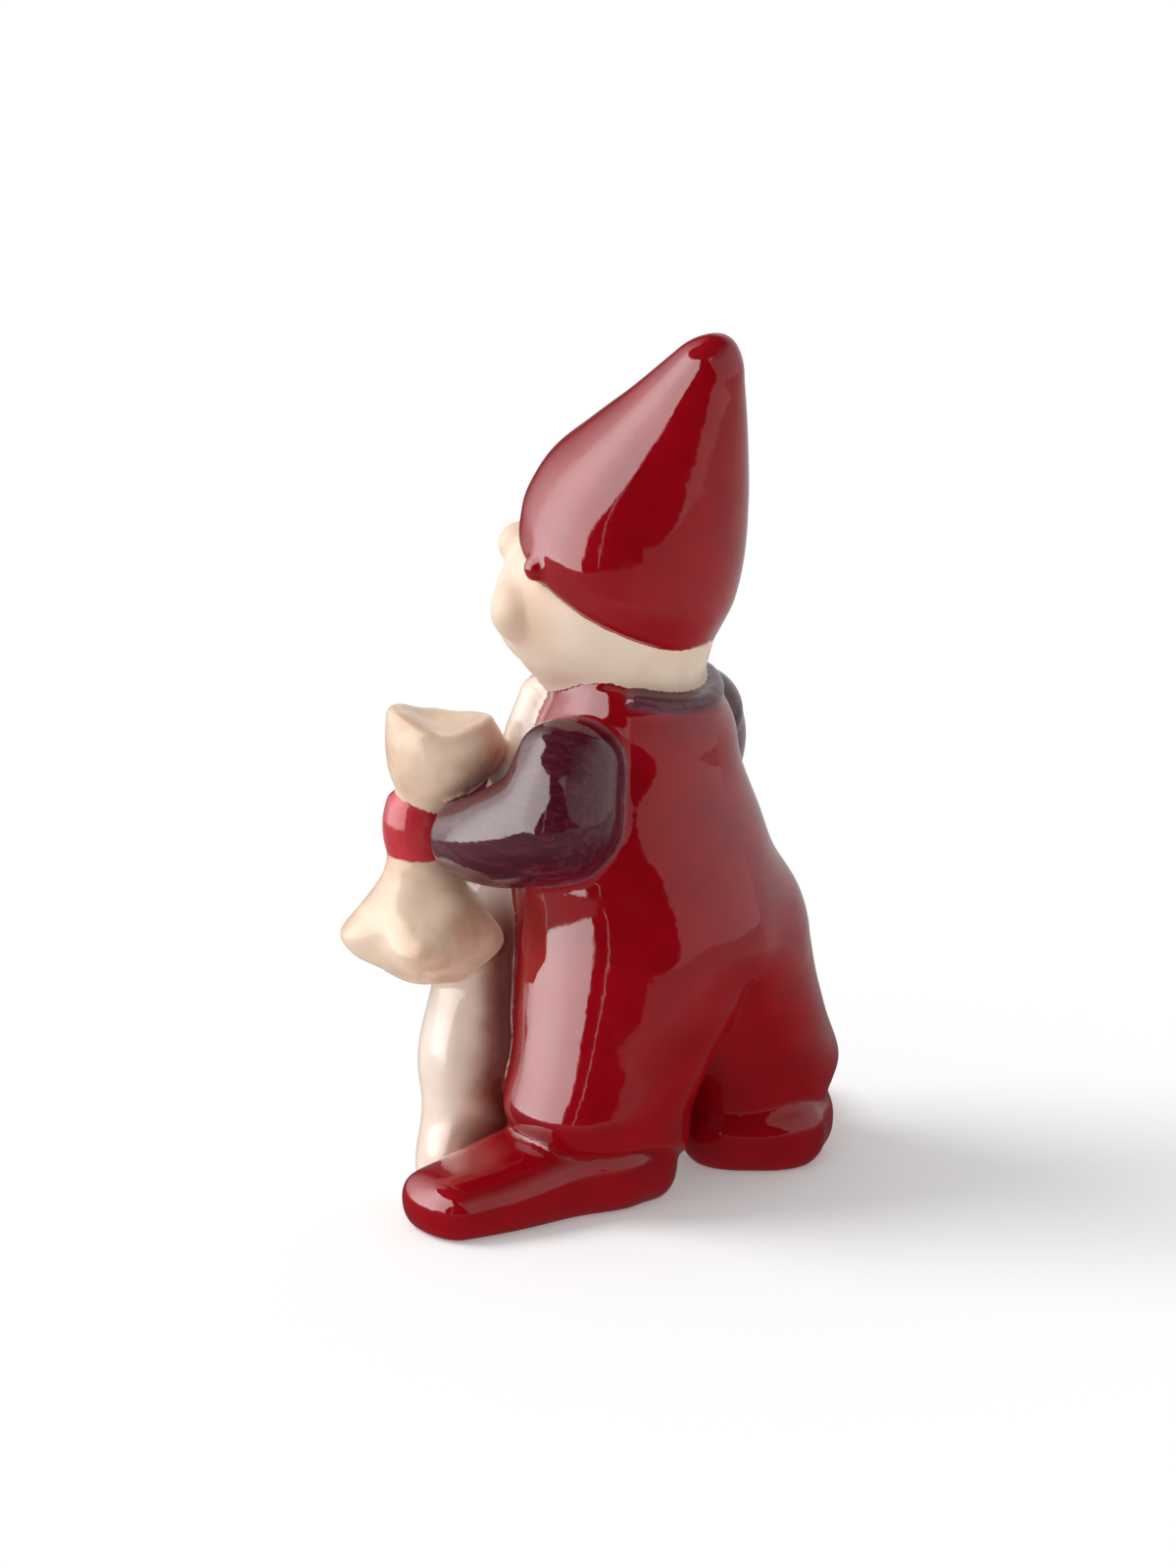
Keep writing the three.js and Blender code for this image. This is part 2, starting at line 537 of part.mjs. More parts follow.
// The beard's hollow leaves a sole at the foot and a wall where the neighbours cut into the beard.
function beardHollow() {
  const neighbours = [
    suitSkin(WALL), sackSkin(WALL), mittenSkin(RIGHT, WALL), headSkin(WALL), moustacheSkin(WALL),
    bootSkin(LEFT, WALL), bootSkin(RIGHT, WALL),
  ];
  const hollow = cut(beardSkin(-WALL, 0.7, OPENING_REACH), aboveSole, ...neighbours);
  return join(hollow, drainHole(0, -BEARD_DRAIN_FORWARD));
}

// The solids, each cut back by the neighbours that it is luted to.
function build() {
  const pieces = {};
  const hands = [LEFT, RIGHT];
  const [leftBoot, rightBoot] = hands.map((hand) => bootSkin(hand));
  const bootTools = hands.map((hand) => bootSkin(hand, SEAM));
  const headTool = join(headSkin(SEAM), neckSkin(SEAM), moustacheSkin(SEAM));
  const collarTool = collarSkin(SEAM);
  const suitTool = suitSkin(SEAM);
  const sackTool = sackSkin(SEAM);
  const mittenTools = hands.map((hand) => mittenSkin(hand, SEAM));

  const suitHollow = join(torsoSkin(-WALL, 0.55), ...hands.map((hand) => legSkin(hand, -WALL, OPENING_REACH, 0.55)));
  const neckline = beyond(vec(0, 1.2, SHOULDER_HEIGHT - 0.3), necklineAxis);
  pieces.suit = cut(suitSkin(), suitHollow, neckline, headTool, collarTool, ...bootTools);
  pieces.collar = cut(collarSkin(), headTool);

  const headHollow = join(
    egg(headCentre, vec(HEAD_RADIUS, HEAD_RADIUS, HEAD_RADIUS), -WALL, 14),
    neckSkin(-WALL, OPENING_REACH, 0.6),
  );
  const aboveRim = beyond(rimCentre, hatAxis);
  pieces.head = cut(join(headSkin(), neckSkin()), headHollow, aboveRim);
  pieces.moustache = cut(moustacheSkin(), headSkin(SEAM), neckSkin(SEAM), aboveRim);
  const belowRim = beyond(rimCentre.clone().addScaledVector(hatAxis, SEAM), hatAxis.clone().negate());
  const hatShell = cut(hatSkin(0, 4), hatSkin(-WALL, OPENING_REACH, 0.6), belowRim);
  pieces.hat = join(hatShell, ...hands.map(templeNub));
  pieces.nose = cut(noseSkin(), headSkin(SEAM), moustacheSkin(SEAM), hatSkin(SEAM, 4));

  const hollowBoot = (hand, skin) => {
    const spot = bootSpotOf(hand);
    const legBore = cut(legSkin(hand, -WALL * 1.4, OPENING_REACH, 0.6), aboveSole);
    const drain = drainHole(spot.x, spot.y);
    return cut(skin, cut(bootSkin(hand, -WALL, 0.6), aboveSole), legBore, drain, belowFloor);
  };
  pieces.left_boot = hollowBoot(LEFT, leftBoot);
  pieces.right_boot = hollowBoot(RIGHT, rightBoot);

  pieces.sack = cut(join(cut(sackSkin(), ...mittenTools), sackNeckCore()), sackDish(), suitTool);
  pieces.left_mitten = cut(mittenSkin(LEFT), sackNeckCore(SEAM));
  pieces.right_mitten = cut(mittenSkin(RIGHT), sackNeckCore(SEAM), mittenTools[0]);
  pieces.beard = cut(
    beardSkin(), beardHollow(), suitTool, headTool, sackTool, collarTool, ...bootTools, ...mittenTools, belowFloor,
  );
  const beardTool = beardSkin(SEAM);
  for (const [hand, name] of [[LEFT, "left_sleeve"], [RIGHT, "right_sleeve"]]) {
    pieces[name] = cut(sleeveSkin(hand), suitTool, sackTool, beardTool, ...mittenTools, headTool, collarTool);
  }
  return pieces;
}

const glaze = (colour) => new THREE.MeshStandardMaterial({ color: colour, roughness: 0.12, metalness: 0 });
const red = glaze("#8f0a1c");
const aubergine = glaze("#43101f");
const cream = glaze("#e6cfb6");
const finish = {
  hat: red, suit: red, left_boot: red, right_boot: red, left_mitten: red, right_mitten: red,
  collar: aubergine, left_sleeve: aubergine, right_sleeve: aubergine,
  head: cream, nose: cream, moustache: cream, beard: cream, sack: cream,
};

const figurine = new THREE.Group();
for (const [name, solid] of Object.entries(build())) {
  const largest = solid.decompose().sort((a, b) => b.volume() - a.volume())[0];
  const { vertProperties, triVerts, numProp } = largest.getMesh();
  const positions = new Float32Array((vertProperties.length / numProp) * 3);
  for (let i = 0; i < positions.length / 3; i++) {
    positions.set(vertProperties.subarray(i * numProp, i * numProp + 3), i * 3);
  }
  const geometry = new THREE.BufferGeometry();
  geometry.setAttribute("position", new THREE.BufferAttribute(positions, 3));
  geometry.setIndex(new THREE.BufferAttribute(triVerts, 1));
  geometry.computeVertexNormals();
  const mesh = new THREE.Mesh(geometry, finish[name]);
  mesh.name = name;
  figurine.add(mesh);
}

// The row's origin is the middle of the footprint, on the floor.
const extent = new THREE.Box3().setFromObject(figurine);
const middle = extent.getCenter(vec(0, 0, 0));
figurine.position.set(-middle.x, -middle.y, -extent.min.z);

export default figurine;
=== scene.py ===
import math

import bpy
import numpy as np
from mathutils import Matrix, Vector
from mathutils.bvhtree import BVHTree


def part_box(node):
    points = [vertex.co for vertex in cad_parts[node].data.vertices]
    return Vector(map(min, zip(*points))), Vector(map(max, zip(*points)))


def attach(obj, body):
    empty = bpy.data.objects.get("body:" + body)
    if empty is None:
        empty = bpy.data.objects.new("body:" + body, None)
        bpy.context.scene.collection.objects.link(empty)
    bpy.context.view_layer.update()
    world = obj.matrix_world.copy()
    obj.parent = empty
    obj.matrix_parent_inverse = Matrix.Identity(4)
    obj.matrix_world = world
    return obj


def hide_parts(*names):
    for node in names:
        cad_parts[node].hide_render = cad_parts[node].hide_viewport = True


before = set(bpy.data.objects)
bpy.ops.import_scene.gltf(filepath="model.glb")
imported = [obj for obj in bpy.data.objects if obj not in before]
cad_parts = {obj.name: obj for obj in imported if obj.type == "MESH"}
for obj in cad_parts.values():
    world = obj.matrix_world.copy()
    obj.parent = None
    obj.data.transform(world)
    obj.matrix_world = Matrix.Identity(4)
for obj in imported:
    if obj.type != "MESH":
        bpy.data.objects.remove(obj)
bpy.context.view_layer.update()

bl_info = {
    "name": "Glazed Christmas Elf",
    "version": (1, 0, 0),
    "blender": (4, 5, 0),
    "location": "View3D > Sidebar > Elf",
    "description": "A glazed earthenware Christmas elf with its sack, built round the packed frame",
    "category": "Add Mesh",
}

# The figure is slip-cast in sections that are luted together wet and glazed as one. Every section is a
# swept skin close to its CAD solid. They are fused into one skin, so that the joints run into each other
# softly, and the skin is then parted again into the pieces, which meet edge to edge.
# Shapes are worked out in millimetres: the elf looks along -Y, its left is +X, and the floor is at z = 0.

METRES = 0.001
X, Y, Z = np.eye(3)
LEFT, RIGHT = 1, -1
PIECES = ("suit", "collar", "head", "moustache", "hat", "nose", "left_boot", "right_boot", "sack",
          "left_mitten", "right_mitten", "beard", "left_sleeve", "right_sleeve")
RED = ("suit", "hat", "left_boot", "right_boot", "left_mitten", "right_mitten")
AUBERGINE = ("collar", "left_sleeve", "right_sleeve")
CREAM = ("head", "moustache", "nose", "sack", "beard")

# Where things sit, in millimetres.
ANKLE = {LEFT: np.array([14.2, 2.6, 0]), RIGHT: np.array([-19.7, 12, 0])}
HIP_JOINT = {LEFT: np.array([5.3, 5, 40]), RIGHT: np.array([-8.9, 8, 40])}
BOOT_SPOT = {LEFT: np.array([11.4, 2.9, 0]), RIGHT: np.array([-20.2, 13.2, 0])}
SACK_NECK = np.array([17.5, -30.8, 58.5])
LEFT_GRIP = np.array([0.4, 0.7, 1])

# Angles in degrees: the toes turned out, the hat leaning back, and the neckline dropping towards the back.
TOE_OUT = {LEFT: 65, RIGHT: 61}
HAT_LEAN = 30
NECKLINE_SLOPE = 16


def linear(code):
    """An sRGB hex colour as the linear red, green, blue and alpha that Blender works in."""
    parts = [int(code[i:i + 2], 16) / 255 for i in (0, 2, 4)]
    return [v / 12.92 if v <= 0.04045 else ((v + 0.055) / 1.055) ** 2.4 for v in parts] + [1.0]


def length(name, description, millimetres):
    return bpy.props.FloatProperty(name=name, description=description, default=millimetres * METRES,
                                   min=0.0, unit="LENGTH", subtype="DISTANCE")


def colour(name, description, code):
    return bpy.props.FloatVectorProperty(name=name, description=description, default=linear(code),
                                         size=4, min=0.0, max=1.0, subtype="COLOR")


class ElfSizes(bpy.types.PropertyGroup):
    """Sizes of the figure"""
    boot_length: length("Boot length", "Heel to toe", 49.5)
    hem_radius: length("Hem radius", "Trouser leg at its hem", 15)
    calf_radius: length("Calf radius", "Trouser leg above the hem", 16)
    thigh_radius: length("Thigh radius", "Trouser leg at the seat", 20.3)
    seat_half_width: length("Seat half-width", "Half the widest girth of the suit", 24.8)
    shoulder_height: length("Shoulder height", "Floor to the shoulder line", 89)
    head_radius: length("Head radius", "Ball of the head", 17.4)
    hat_height: length("Hat height", "Rim to tip, square to the rim", 49)
    muzzle_radius: length("Moustache radius", "Pad of the moustache over the mouth", 12)
    nose_radius: length("Nose radius", "Ball of the nose", 3.9)
    upper_arm_radius: length("Arm radius", "Sleeve between shoulder and elbow", 9)
    elbow_radius: length("Elbow radius", "Sleeve at its thickest", 10.9)
    mitten_radius: length("Mitten radius", "Mitten round the neck of the sack", 5.9)
    sack_body_radius: length("Sack radius", "Filled part of the sack", 13)
    sack_mouth_radius: length("Sack mouth radius", "Gathered mouth above the mitten", 9.5)
    beard_foot_half_width: length("Beard half-width", "Half the foot of the beard", 23.7)
    skin_grain: length("Skin grain", "Spacing of the points on the fused skin", 0.55)
    glaze_wave: length("Glaze wave", "Height of the slow waves in the glaze", 0.05)
    dent_depth: length("Dent depth", "Depth of the hand-pressed dents in the sack and the beard", 0.3)
    shell: length("Shell", "Thickness that each piece's skin is closed to", 1.2)


class ElfGlazes(bpy.types.PropertyGroup):
    """Colours of the glazes"""
    red: colour("Red", "Transparent red glaze where it lies even", "930513")
    red_pooled: colour("Red, pooled", "The same glaze where it pools in a joint", "6a0009")
    red_milky: colour("Red, milky", "Thick opalescent red on the mittens", "c2323c")
    aubergine: colour("Aubergine", "Underglaze brushed on the sleeves", "43101f")
    aubergine_worn: colour("Aubergine, thin", "Where the brush left it thin", "5c2029")
    aubergine_edge: colour("Aubergine, edge", "Milky edge where it meets the red glaze", "6f3f4c")
    cream: colour("Cream", "Cream glaze over the pale body", "e5cbb3")
    cream_thick: colour("Cream, thick", "The cream glaze where it lies thick and turns whiter", "f6e8db")
    cream_warm: colour("Cream, warm", "Clouds of a warmer cream", "cda98c")
    # The pooled cream is also painted as shade on the cheeks and beside the red suit on the beard.
    cream_pooled: colour("Cream, pooled", "Where it pools in a fold", "b98f70")
    # Painted shade and red reflection: the red-brown laid on the cream of the beard beside the red suit.
    flush: colour("Flush", "Red-brown that the red glaze bleeds into the cream beside it", "6e2a24")
    eye: colour("Eye", "Grey-brown underglaze dot of an eye", "4a3c38")


def mm(key):
    """A size from the panel, in millimetres."""
    return getattr(bpy.context.scene.elf_sizes, key) / METRES


def unit(v):
    return v / np.linalg.norm(v, axis=-1, keepdims=True)


def turned(degrees):
    """The direction in the Y-Z plane that leans back from straight up by that angle."""
    return np.array([0.0, math.sin(math.radians(degrees)), math.cos(math.radians(degrees))])


def spline(points, along):
    """A curve bent smoothly through the points, as a batten would be; along runs from 0 to 1."""
    points = np.asarray(points, float)
    last = len(points) - 1
    held = np.vstack([2 * points[0] - points[1], points, 2 * points[-1] - points[-2]])
    place = np.clip(np.asarray(along, float), 0, 1) * last
    k = np.minimum(place.astype(int), last - 1)
    t = (place - k)[:, None]
    a, b, c, d = (held[k + i] for i in range(4))
    slope, bend, twist = c - a, 2 * a - 5 * b + 4 * c - d, 3 * b - a - 3 * c + d
    return 0.5 * (2 * b + slope * t + bend * t ** 2 + twist * t ** 3)


def sweep(stations, side=X, normal=None, caps=(0, 0), squareness=2.0, shape=None, lift=None, crown=None,
          rings=64, points=88):
    """A closed skin through oval rings. A station is (centre, half-width, half-depth). Caps are the heights
    of the two rounded ends. A crown closes the far end instead, as (share of radius, height)."""
    cap_rings, crown_rings, first_turn, pole = 12, 28, 0.06, 0.03
    table = np.array([[*centre, w, d] for centre, w, d in stations], float)
    ends = [np.linspace(first_turn, 1, cap_rings, endpoint=False) * math.pi / 2 if cap else np.array([pole])
            for cap in caps]
    rows = [(0, math.sin(t), -caps[0] * math.cos(t)) for t in ends[0]]
    rows += [(a, 1, 0) for a in np.linspace(0, 1, rings)]
    if crown is None:
        rows += [(1, math.sin(t), caps[1] * math.cos(t)) for t in ends[1][::-1]]
    else:
        rows += [(1, *place) for place in spline(crown, np.linspace(0.02, 1, crown_rings))]
    along, shrink, push = np.array(rows).T
    spine = spline(table, along)
    if normal is None:
        nudge = 1e-3
        up = spline(table, np.minimum(along + nudge, 1)) - spline(table, np.maximum(along - nudge, 0))
        up = unit(up[:, :3])
    else:
        up = np.tile(unit(np.asarray(normal, float)), (len(rows), 1))
    across = unit(side - up * (up @ side)[:, None])
    front = np.cross(up, across)
    angle = np.linspace(0, 2 * math.pi, points, endpoint=False)[None]
    swell = (shape(angle, along[:, None]) if shape else 1) * shrink[:, None]
    rise = push[:, None] + (lift(angle, along[:, None]) * shrink[:, None] if lift else np.zeros_like(angle))

    def rounded(v):
        return np.sign(v) * np.abs(v) ** (2 / squareness)

    wide = (spine[:, 3:4] * swell * rounded(np.cos(angle)))[..., None]
    deep = (spine[:, 4:5] * swell * rounded(np.sin(angle)))[..., None]
    ring = spine[:, None, :3] + across[:, None] * wide + front[:, None] * deep + up[:, None] * rise[..., None]
    return closed(ring)


def closed(ring):
    """Rings of points as one closed skin, with a fan over each end."""
    rows, points = ring.shape[:2]
    vertices = np.vstack([ring.reshape(-1, 3), ring[0].mean(0), ring[-1].mean(0)])
    i = np.arange(points)
    j = (i + 1) % points
    row = np.arange(rows - 1)[:, None] * points
    quads = np.stack([row + i, row + j, row + points + j, row + points + i], -1).reshape(-1, 4)
    top = (rows - 1) * points
    fans = [(rows * points, b, a) for a, b in zip(i, j)]
    fans += [(rows * points + 1, top + a, top + b) for a, b in zip(i, j)]
    return vertices, quads.tolist() + [tuple(int(v) for v in f) for f in fans]


def egg(centre, radii, points=56):
    """A ball or egg with its own radii along X, Y and Z."""
    turn = np.linspace(0, math.pi, points // 2)[1:-1][::-1, None]
    angle = np.linspace(0, 2 * math.pi, points, endpoint=False)[None]
    level = np.cos(turn) + 0 * angle
    ring = np.stack([np.sin(turn) * np.cos(angle), np.sin(turn) * np.sin(angle), level], -1)
    return closed(np.asarray(centre) + ring * np.asarray(radii))


def boot_axis(hand):
    """The direction from heel to toe."""
    swing = math.radians(TOE_OUT[hand])
    return np.array([hand * math.sin(swing), -math.cos(swing), 0])


def head_centre():
    return np.array([0, -4, mm("shoulder_height") + 9.6])


def rim_centre():
    """Middle of the hat's rim."""
    return head_centre() + turned(HAT_LEAN) * 4.5


def boot(hand):
    """Boot, swept from heel to toe and flat on the floor."""
    long = mm("boot_length")
    axis = boot_axis(hand)
    heel, spot_from_heel = (13, 10.5) if hand == LEFT else (13.8, 16.5)
    instep = 11
    heel_round, toe_round = 7.5, 5.5

    def station(from_heel, half_width, height):
        # Each oval reaches a little below the floor, where it is then cut flat.
        at = BOOT_SPOT[hand] + axis * (from_heel - spot_from_heel) + [0, 0, height * 0.43]
        return at, half_width, height * 0.57

    skin, faces = sweep([
        station(heel_round, heel * 0.9, 13.6), station(14.5, heel, 15), station(long * 0.48, instep, 13.6),
        station(long * 0.7, instep * 0.96, 11.4), station(long - toe_round, instep * 0.82, 9.8),
    ], side=np.cross(Z, axis), caps=(heel_round, toe_round), squareness=2.5)
    skin[:, 2] = np.maximum(skin[:, 2], 0)
    return skin, faces


def trouser_leg(hand):
    """Trouser leg from the hem up into the seat; the hem hangs lower over the heel."""
    foot, hip = ANKLE[hand], HIP_JOINT[hand]
    hem_height, hem_round, seat_round = 12.6, 1.6, 21
    low = foot + [0, 0, hem_height]
    heel = -boot_axis(hand)
    heel_angle = math.atan2(heel[1], heel[0])
    drop, slimmer = (6.4, 0) if hand == LEFT else (4.5, 0.8)

    def between(share, out=0):
        return low + (hip - low) * share + [foot[0] * out, 0, 0]

    def hem(angle, along):
        near_hem = np.maximum(0, 1 - along / 0.3) ** 1.5
        over_heel = np.maximum(0, np.cos(angle - heel_angle)) ** 1.5
        return -drop * near_hem * over_heel

    calf, thigh = mm("calf_radius"), mm("thigh_radius") - slimmer
    rings = [(low, mm("hem_radius")), (low + [0, 0, 4.5], calf), (between(0.45, 0.05), calf * 1.07),
             (between(0.75), thigh * 0.94), (hip, thigh)]
    return sweep([(at, r, r) for at, r in rings], normal=Z, caps=(hem_round, seat_round), lift=hem)


def torso():
    """Body of the suit, from the seat to the shoulders, cut to the neckline that drops towards the back."""
    seat, depth, chest, chest_depth = mm("seat_half_width"), 23, 19.5, 17.3
    top = mm("shoulder_height")
    shoulders, chest_height = top - 1.5, 71

    def above_chest(share):
        return 0, 1.5, chest_height + (shoulders - chest_height) * share

    skin, faces = sweep([
        ((0, 6.4, 35.4), seat * 0.7, depth * 0.64), ((0, 6.4, 40.25), seat * 0.9, depth * 0.9),
        ((0, 4.6, 47.5), seat * 0.965, depth * 0.965),
        ((0, 2.8, 59.25), seat + (chest - seat) * 0.3, depth + (chest_depth - depth) * 0.45),
        ((0, 1.5, chest_height), chest, chest_depth), (above_chest(0.45), chest * 0.93, chest_depth * 0.92),
        (above_chest(0.72), chest * 0.83, chest_depth * 0.81), ((0, 1.5, shoulders), 14, 11.4),
    ], normal=Z, caps=(2.4, 1.5), rings=80, points=110)
    axis = turned(NECKLINE_SLOPE)
    over = np.maximum((skin - [0, 1.2, top - 0.3]) @ axis, 0)
    skin[:, 2] -= over / axis[2]
    return skin, faces


def neck():
    """Neck, from inside the suit up into the head."""
    top = mm("shoulder_height")
    return sweep([((0, 0.6, top - 8), 11.5, 11.5), ((0, 0.9, top - 3), 11.8, 11.8),
                  ((0, 1.4, head_centre()[2] - 2), 13.9, 13.9)], normal=Z)


def collar():
    """Shirt collar that shows round the back of the neck, on the sloping neckline."""
    axis = turned(NECKLINE_SLOPE)
    radius, thick, rounded_end = 13.6, 1.7, 2
    turn = np.radians(np.linspace(32, 148, 9))[:, None]
    middle = np.array([0, 1.4, mm("shoulder_height") - 1.2])
    at = middle + radius * (X * np.cos(turn) + np.cross(axis, X) * np.sin(turn))
    return sweep([(p, thick, thick) for p in at], side=axis, caps=(rounded_end, rounded_end), points=28)


def hat():
    """Pointed hat, of rings parallel to its slanting rim, that slouches forward to a blunt tip."""
    axis = turned(HAT_LEAN)
    high = mm("hat_height")
    rim = mm("head_radius") + 1.2
    wide = rim * 1.043
    forward = 5
    # Share of the height, share of the slouch forward, and radius.
    levels = [(0.004, 0, rim * 0.995), (0.06, 0.12, rim * 1.02), (0.159, 0.3, wide),
              (0.318, 0.5, wide * 0.936), (0.486, 0.55, wide * 0.768), (0.654, 0.65, wide * 0.575),
              (0.803, 0.82, wide * 0.412), (0.9, 0.96, 5.9)]
    tip = [(1, 0), (0.92, 1), (0.82, 2), (0.68, 3.1), (0.5, 4.2), (0.28, 5.2), (0.03, 5.6)]
    rim_middle = rim_centre()
    stations = [(rim_middle + axis * high * up + [0, -forward * slouch, 0], r, r) for up, slouch, r in levels]
    return sweep(stations, normal=axis, caps=(0.7, 0), crown=tip, rings=84, points=120)


def temple_nub(hand):
    """Small drop where the rim of the hat ends at each temple."""
    turn = math.radians(-24)
    axis = turned(HAT_LEAN)
    out = np.array([hand * math.cos(turn), math.sin(turn) * axis[2], -math.sin(turn) * axis[1]])
    centre = rim_centre() + out * (mm("head_radius") + 1.4) + axis * 1.26
    return egg(centre, (1.9, 1.9, 2.4), 32)


def arm_joints(hand):
    """Middles of the shoulder and of the elbow."""
    top = mm("shoulder_height")
    if hand == LEFT:
        return np.array([19.8, 0.4, top - 12.6]), np.array([23.9, 0.6, top - 21.5])
    return np.array([-18.4, 2.4, top - 12.6]), np.array([-25, -4, top - 22.3])


def bend_radius(hand):
    """Radius of the sleeve at its elbow."""
    return mm("elbow_radius") * (0.95 if hand == LEFT else 1)


def cuff(hand):
    """Middle of the sleeve's end, beside the mitten."""
    low = mm("shoulder_height") - 28.2
    out, back, down = (4.2, 11.4, 0) if hand == LEFT else (-15.5, -1.5, 3)
    return np.array([SACK_NECK[0] + out, SACK_NECK[1] + back, low - down])


def upper_arm(hand):
    """Sleeve from the shoulder to the bend."""
    middle, bend = mm("upper_arm_radius") * 1.1, bend_radius(hand)
    shoulder, elbow = arm_joints(hand)
    at_shoulder = 9.0 if hand == LEFT else 8.3
    halfway = (shoulder + elbow) / 2 + [hand * 0.6, 0, -0.36]
    return sweep([(shoulder, at_shoulder, at_shoulder), (halfway, middle, middle), (elbow, bend, bend)],
                 side=Y, caps=(7, bend * 0.9))


def crook(hand):
    """Fullness of the sleeve inside the bend, which keeps the left arm one even curve."""
    (shoulder, elbow), wrist = arm_joints(hand), cuff(hand)
    r = mm("upper_arm_radius") * 0.86
    ends = shoulder * 0.5 + elbow * 0.5, elbow * 0.45 + wrist * 0.55
    return sweep([(ends[0], r, r), (ends[1], r * 0.9, r * 0.9)], caps=(r * 0.9, r * 0.8))


def forearm(hand):
    """Sleeve from the bend to the mitten."""
    r, bend = mm("upper_arm_radius"), bend_radius(hand)
    elbow, wrist = arm_joints(hand)[1], cuff(hand)
    wrist_radius, wrist_round = 6.4, 3.2

    def station(share, bulge, radius):
        return elbow + (wrist - elbow) * share + [hand * bulge, 0, -bulge * 0.6], radius, radius

    return sweep([station(0, 0, bend), station(0.3, 1, r * 1.06), station(0.62, 1.2, r * 0.92),
                  station(1, 0, wrist_radius)], caps=(bend * 0.9, wrist_round))


def mitten(hand):
    """Mittens: the left is wrapped round the neck of the sack, the right closes on it from the side."""
    r = mm("mitten_radius")
    if hand == RIGHT:
        return egg(SACK_NECK + [-6.6, -1.8, -1.4], (r, r * 0.85, 5.6))
    middle, tall = SACK_NECK + LEFT_GRIP, 15.6
    levels = [(-0.36, 0.74), (-0.12, 0.98), (0.14, 1.02), (0.36, 0.9)]
    return sweep([(middle + [0, 0, tall * z], r * w, r * w) for z, w in levels], normal=Z, caps=(2, 2))


def sack():
    """Sack: a cornered body, a tight neck inside the grip, and a flared mouth with a shallow dish in it."""
    body, mouth, neck_radius = mm("sack_body_radius"), mm("sack_mouth_radius"), 4.4
    low = SACK_NECK + [2, 4, -23.4]
    high = SACK_NECK + [0.8, 5.4, 20.6]
    longest_corner = math.radians(-60)

    def station(end, share, radius, x=0, y=0):
        return SACK_NECK + (end - SACK_NECK) * share + [x, y, 0], radius, radius

    def folds(angle, along):
        turn = angle - longest_corner
        fold = np.cos(4 * turn)
        low_corners = np.exp(-(((along - 0.13) / 0.11) ** 2))
        high_corners = np.maximum(0, (along - 0.7) / 0.3)
        longest = 0.5 + 0.5 * np.cos(turn)
        return 1 + 0.19 * low_corners * fold * (0.35 + 0.65 * longest) + 0.06 * high_corners * fold

    def wavy_mouth(angle, along):
        turn = angle - longest_corner
        return np.maximum(0, (along - 0.85) / 0.15) * (0.9 * np.cos(2 * turn) + 0.9 * np.cos(turn))

    lip = [(1, 0), (0.985, 0.5), (0.94, 1.05), (0.86, 1.35), (0.76, 1.2), (0.62, 0.6), (0.4, -0.1),
           (0.2, -0.4), (0.03, -0.5)]
    return sweep([
        station(low, 0.94, body * 0.6), station(low, 0.72, body * 0.97, 0.3, 0.2),
        station(low, 0.48, body * 0.8, 1.4, 1.4), station(low, 0.27, body * 0.49, 1.2, 0.8),
        station(low, 0, neck_radius), station(high, 0.3, 4.84, -0.3, 0.8),
        station(high, 0.54, mouth * 0.86, -0.5, 1.7), station(high, 0.78, mouth * 1.01, -0.7, 1.8),
        station(high, 1, mouth * 0.88),
    ], normal=Z, caps=(1.6, 0), crown=lip, shape=folds, lift=wavy_mouth, rings=110, points=110)


def beard():
    """Beard: falls from the chin and spreads to a foot on the floor, with a soft wave in its edge."""
    chin = head_centre()[2] - mm("head_radius") + 6
    w = mm("beard_foot_half_width")
    foot = -22.3

    def wave(angle, along):
        return 1 + 0.02 * np.sin(along * 23) * (1 - along) + 0 * angle

    skin, faces = sweep([
        ((0, foot, -2), w + 1, 12.6), ((0, foot, chin * 0.13), w, 12), ((0, foot, chin * 0.27), w - 0.6, 12),
        ((0, -21.3, chin * 0.45), w * 0.82, 10.2), ((0, -17.9, chin * 0.7), w * 0.62, 8.4),
        ((0, -13.5, chin * 0.95), 8, 5.04),
    ], normal=Z, caps=(0, 3), shape=wave, rings=100, points=100)
    skin[:, 2] = np.maximum(skin[:, 2], 0)
    return skin, faces


def sections():
    """Every section as (piece, kind, skin)."""
    head = head_centre()
    r, puff = mm("muzzle_radius"), 6.3
    listed = [
        ("suit", "torso", torso()), ("collar", "collar", collar()), ("hat", "hat", hat()),
        ("head", "head", egg(head, [mm("head_radius")] * 3, 110)), ("head", "neck", neck()),
        ("moustache", "pad", egg(head + [0, -8.3, -1.6], (r * 0.94, r, r), 90)),
        ("nose", "nose", egg(head + [0, 1.1 - mm("head_radius"), 7.8],
                             np.array([1, 1.1, 1]) * mm("nose_radius"))),
        ("sack", "sack", sack()), ("beard", "beard", beard()), ("left_sleeve", "crook", crook(LEFT)),
    ]
    for hand, word in ((LEFT, "left"), (RIGHT, "right")):
        listed += [
            ("suit", word + " leg", trouser_leg(hand)), (word + "_boot", word + " boot", boot(hand)),
            ("hat", "nub", temple_nub(hand)), (word + "_mitten", word + " mitten", mitten(hand)),
            (word + "_sleeve", word + " upper arm", upper_arm(hand)),
            (word + "_sleeve", word + " forearm", forearm(hand)),
            ("moustache", "puff", egg(head + [hand * 9.7, -8.9, 0], np.array([1.25, 1.03, 1]) * puff)),
        ]
    return listed


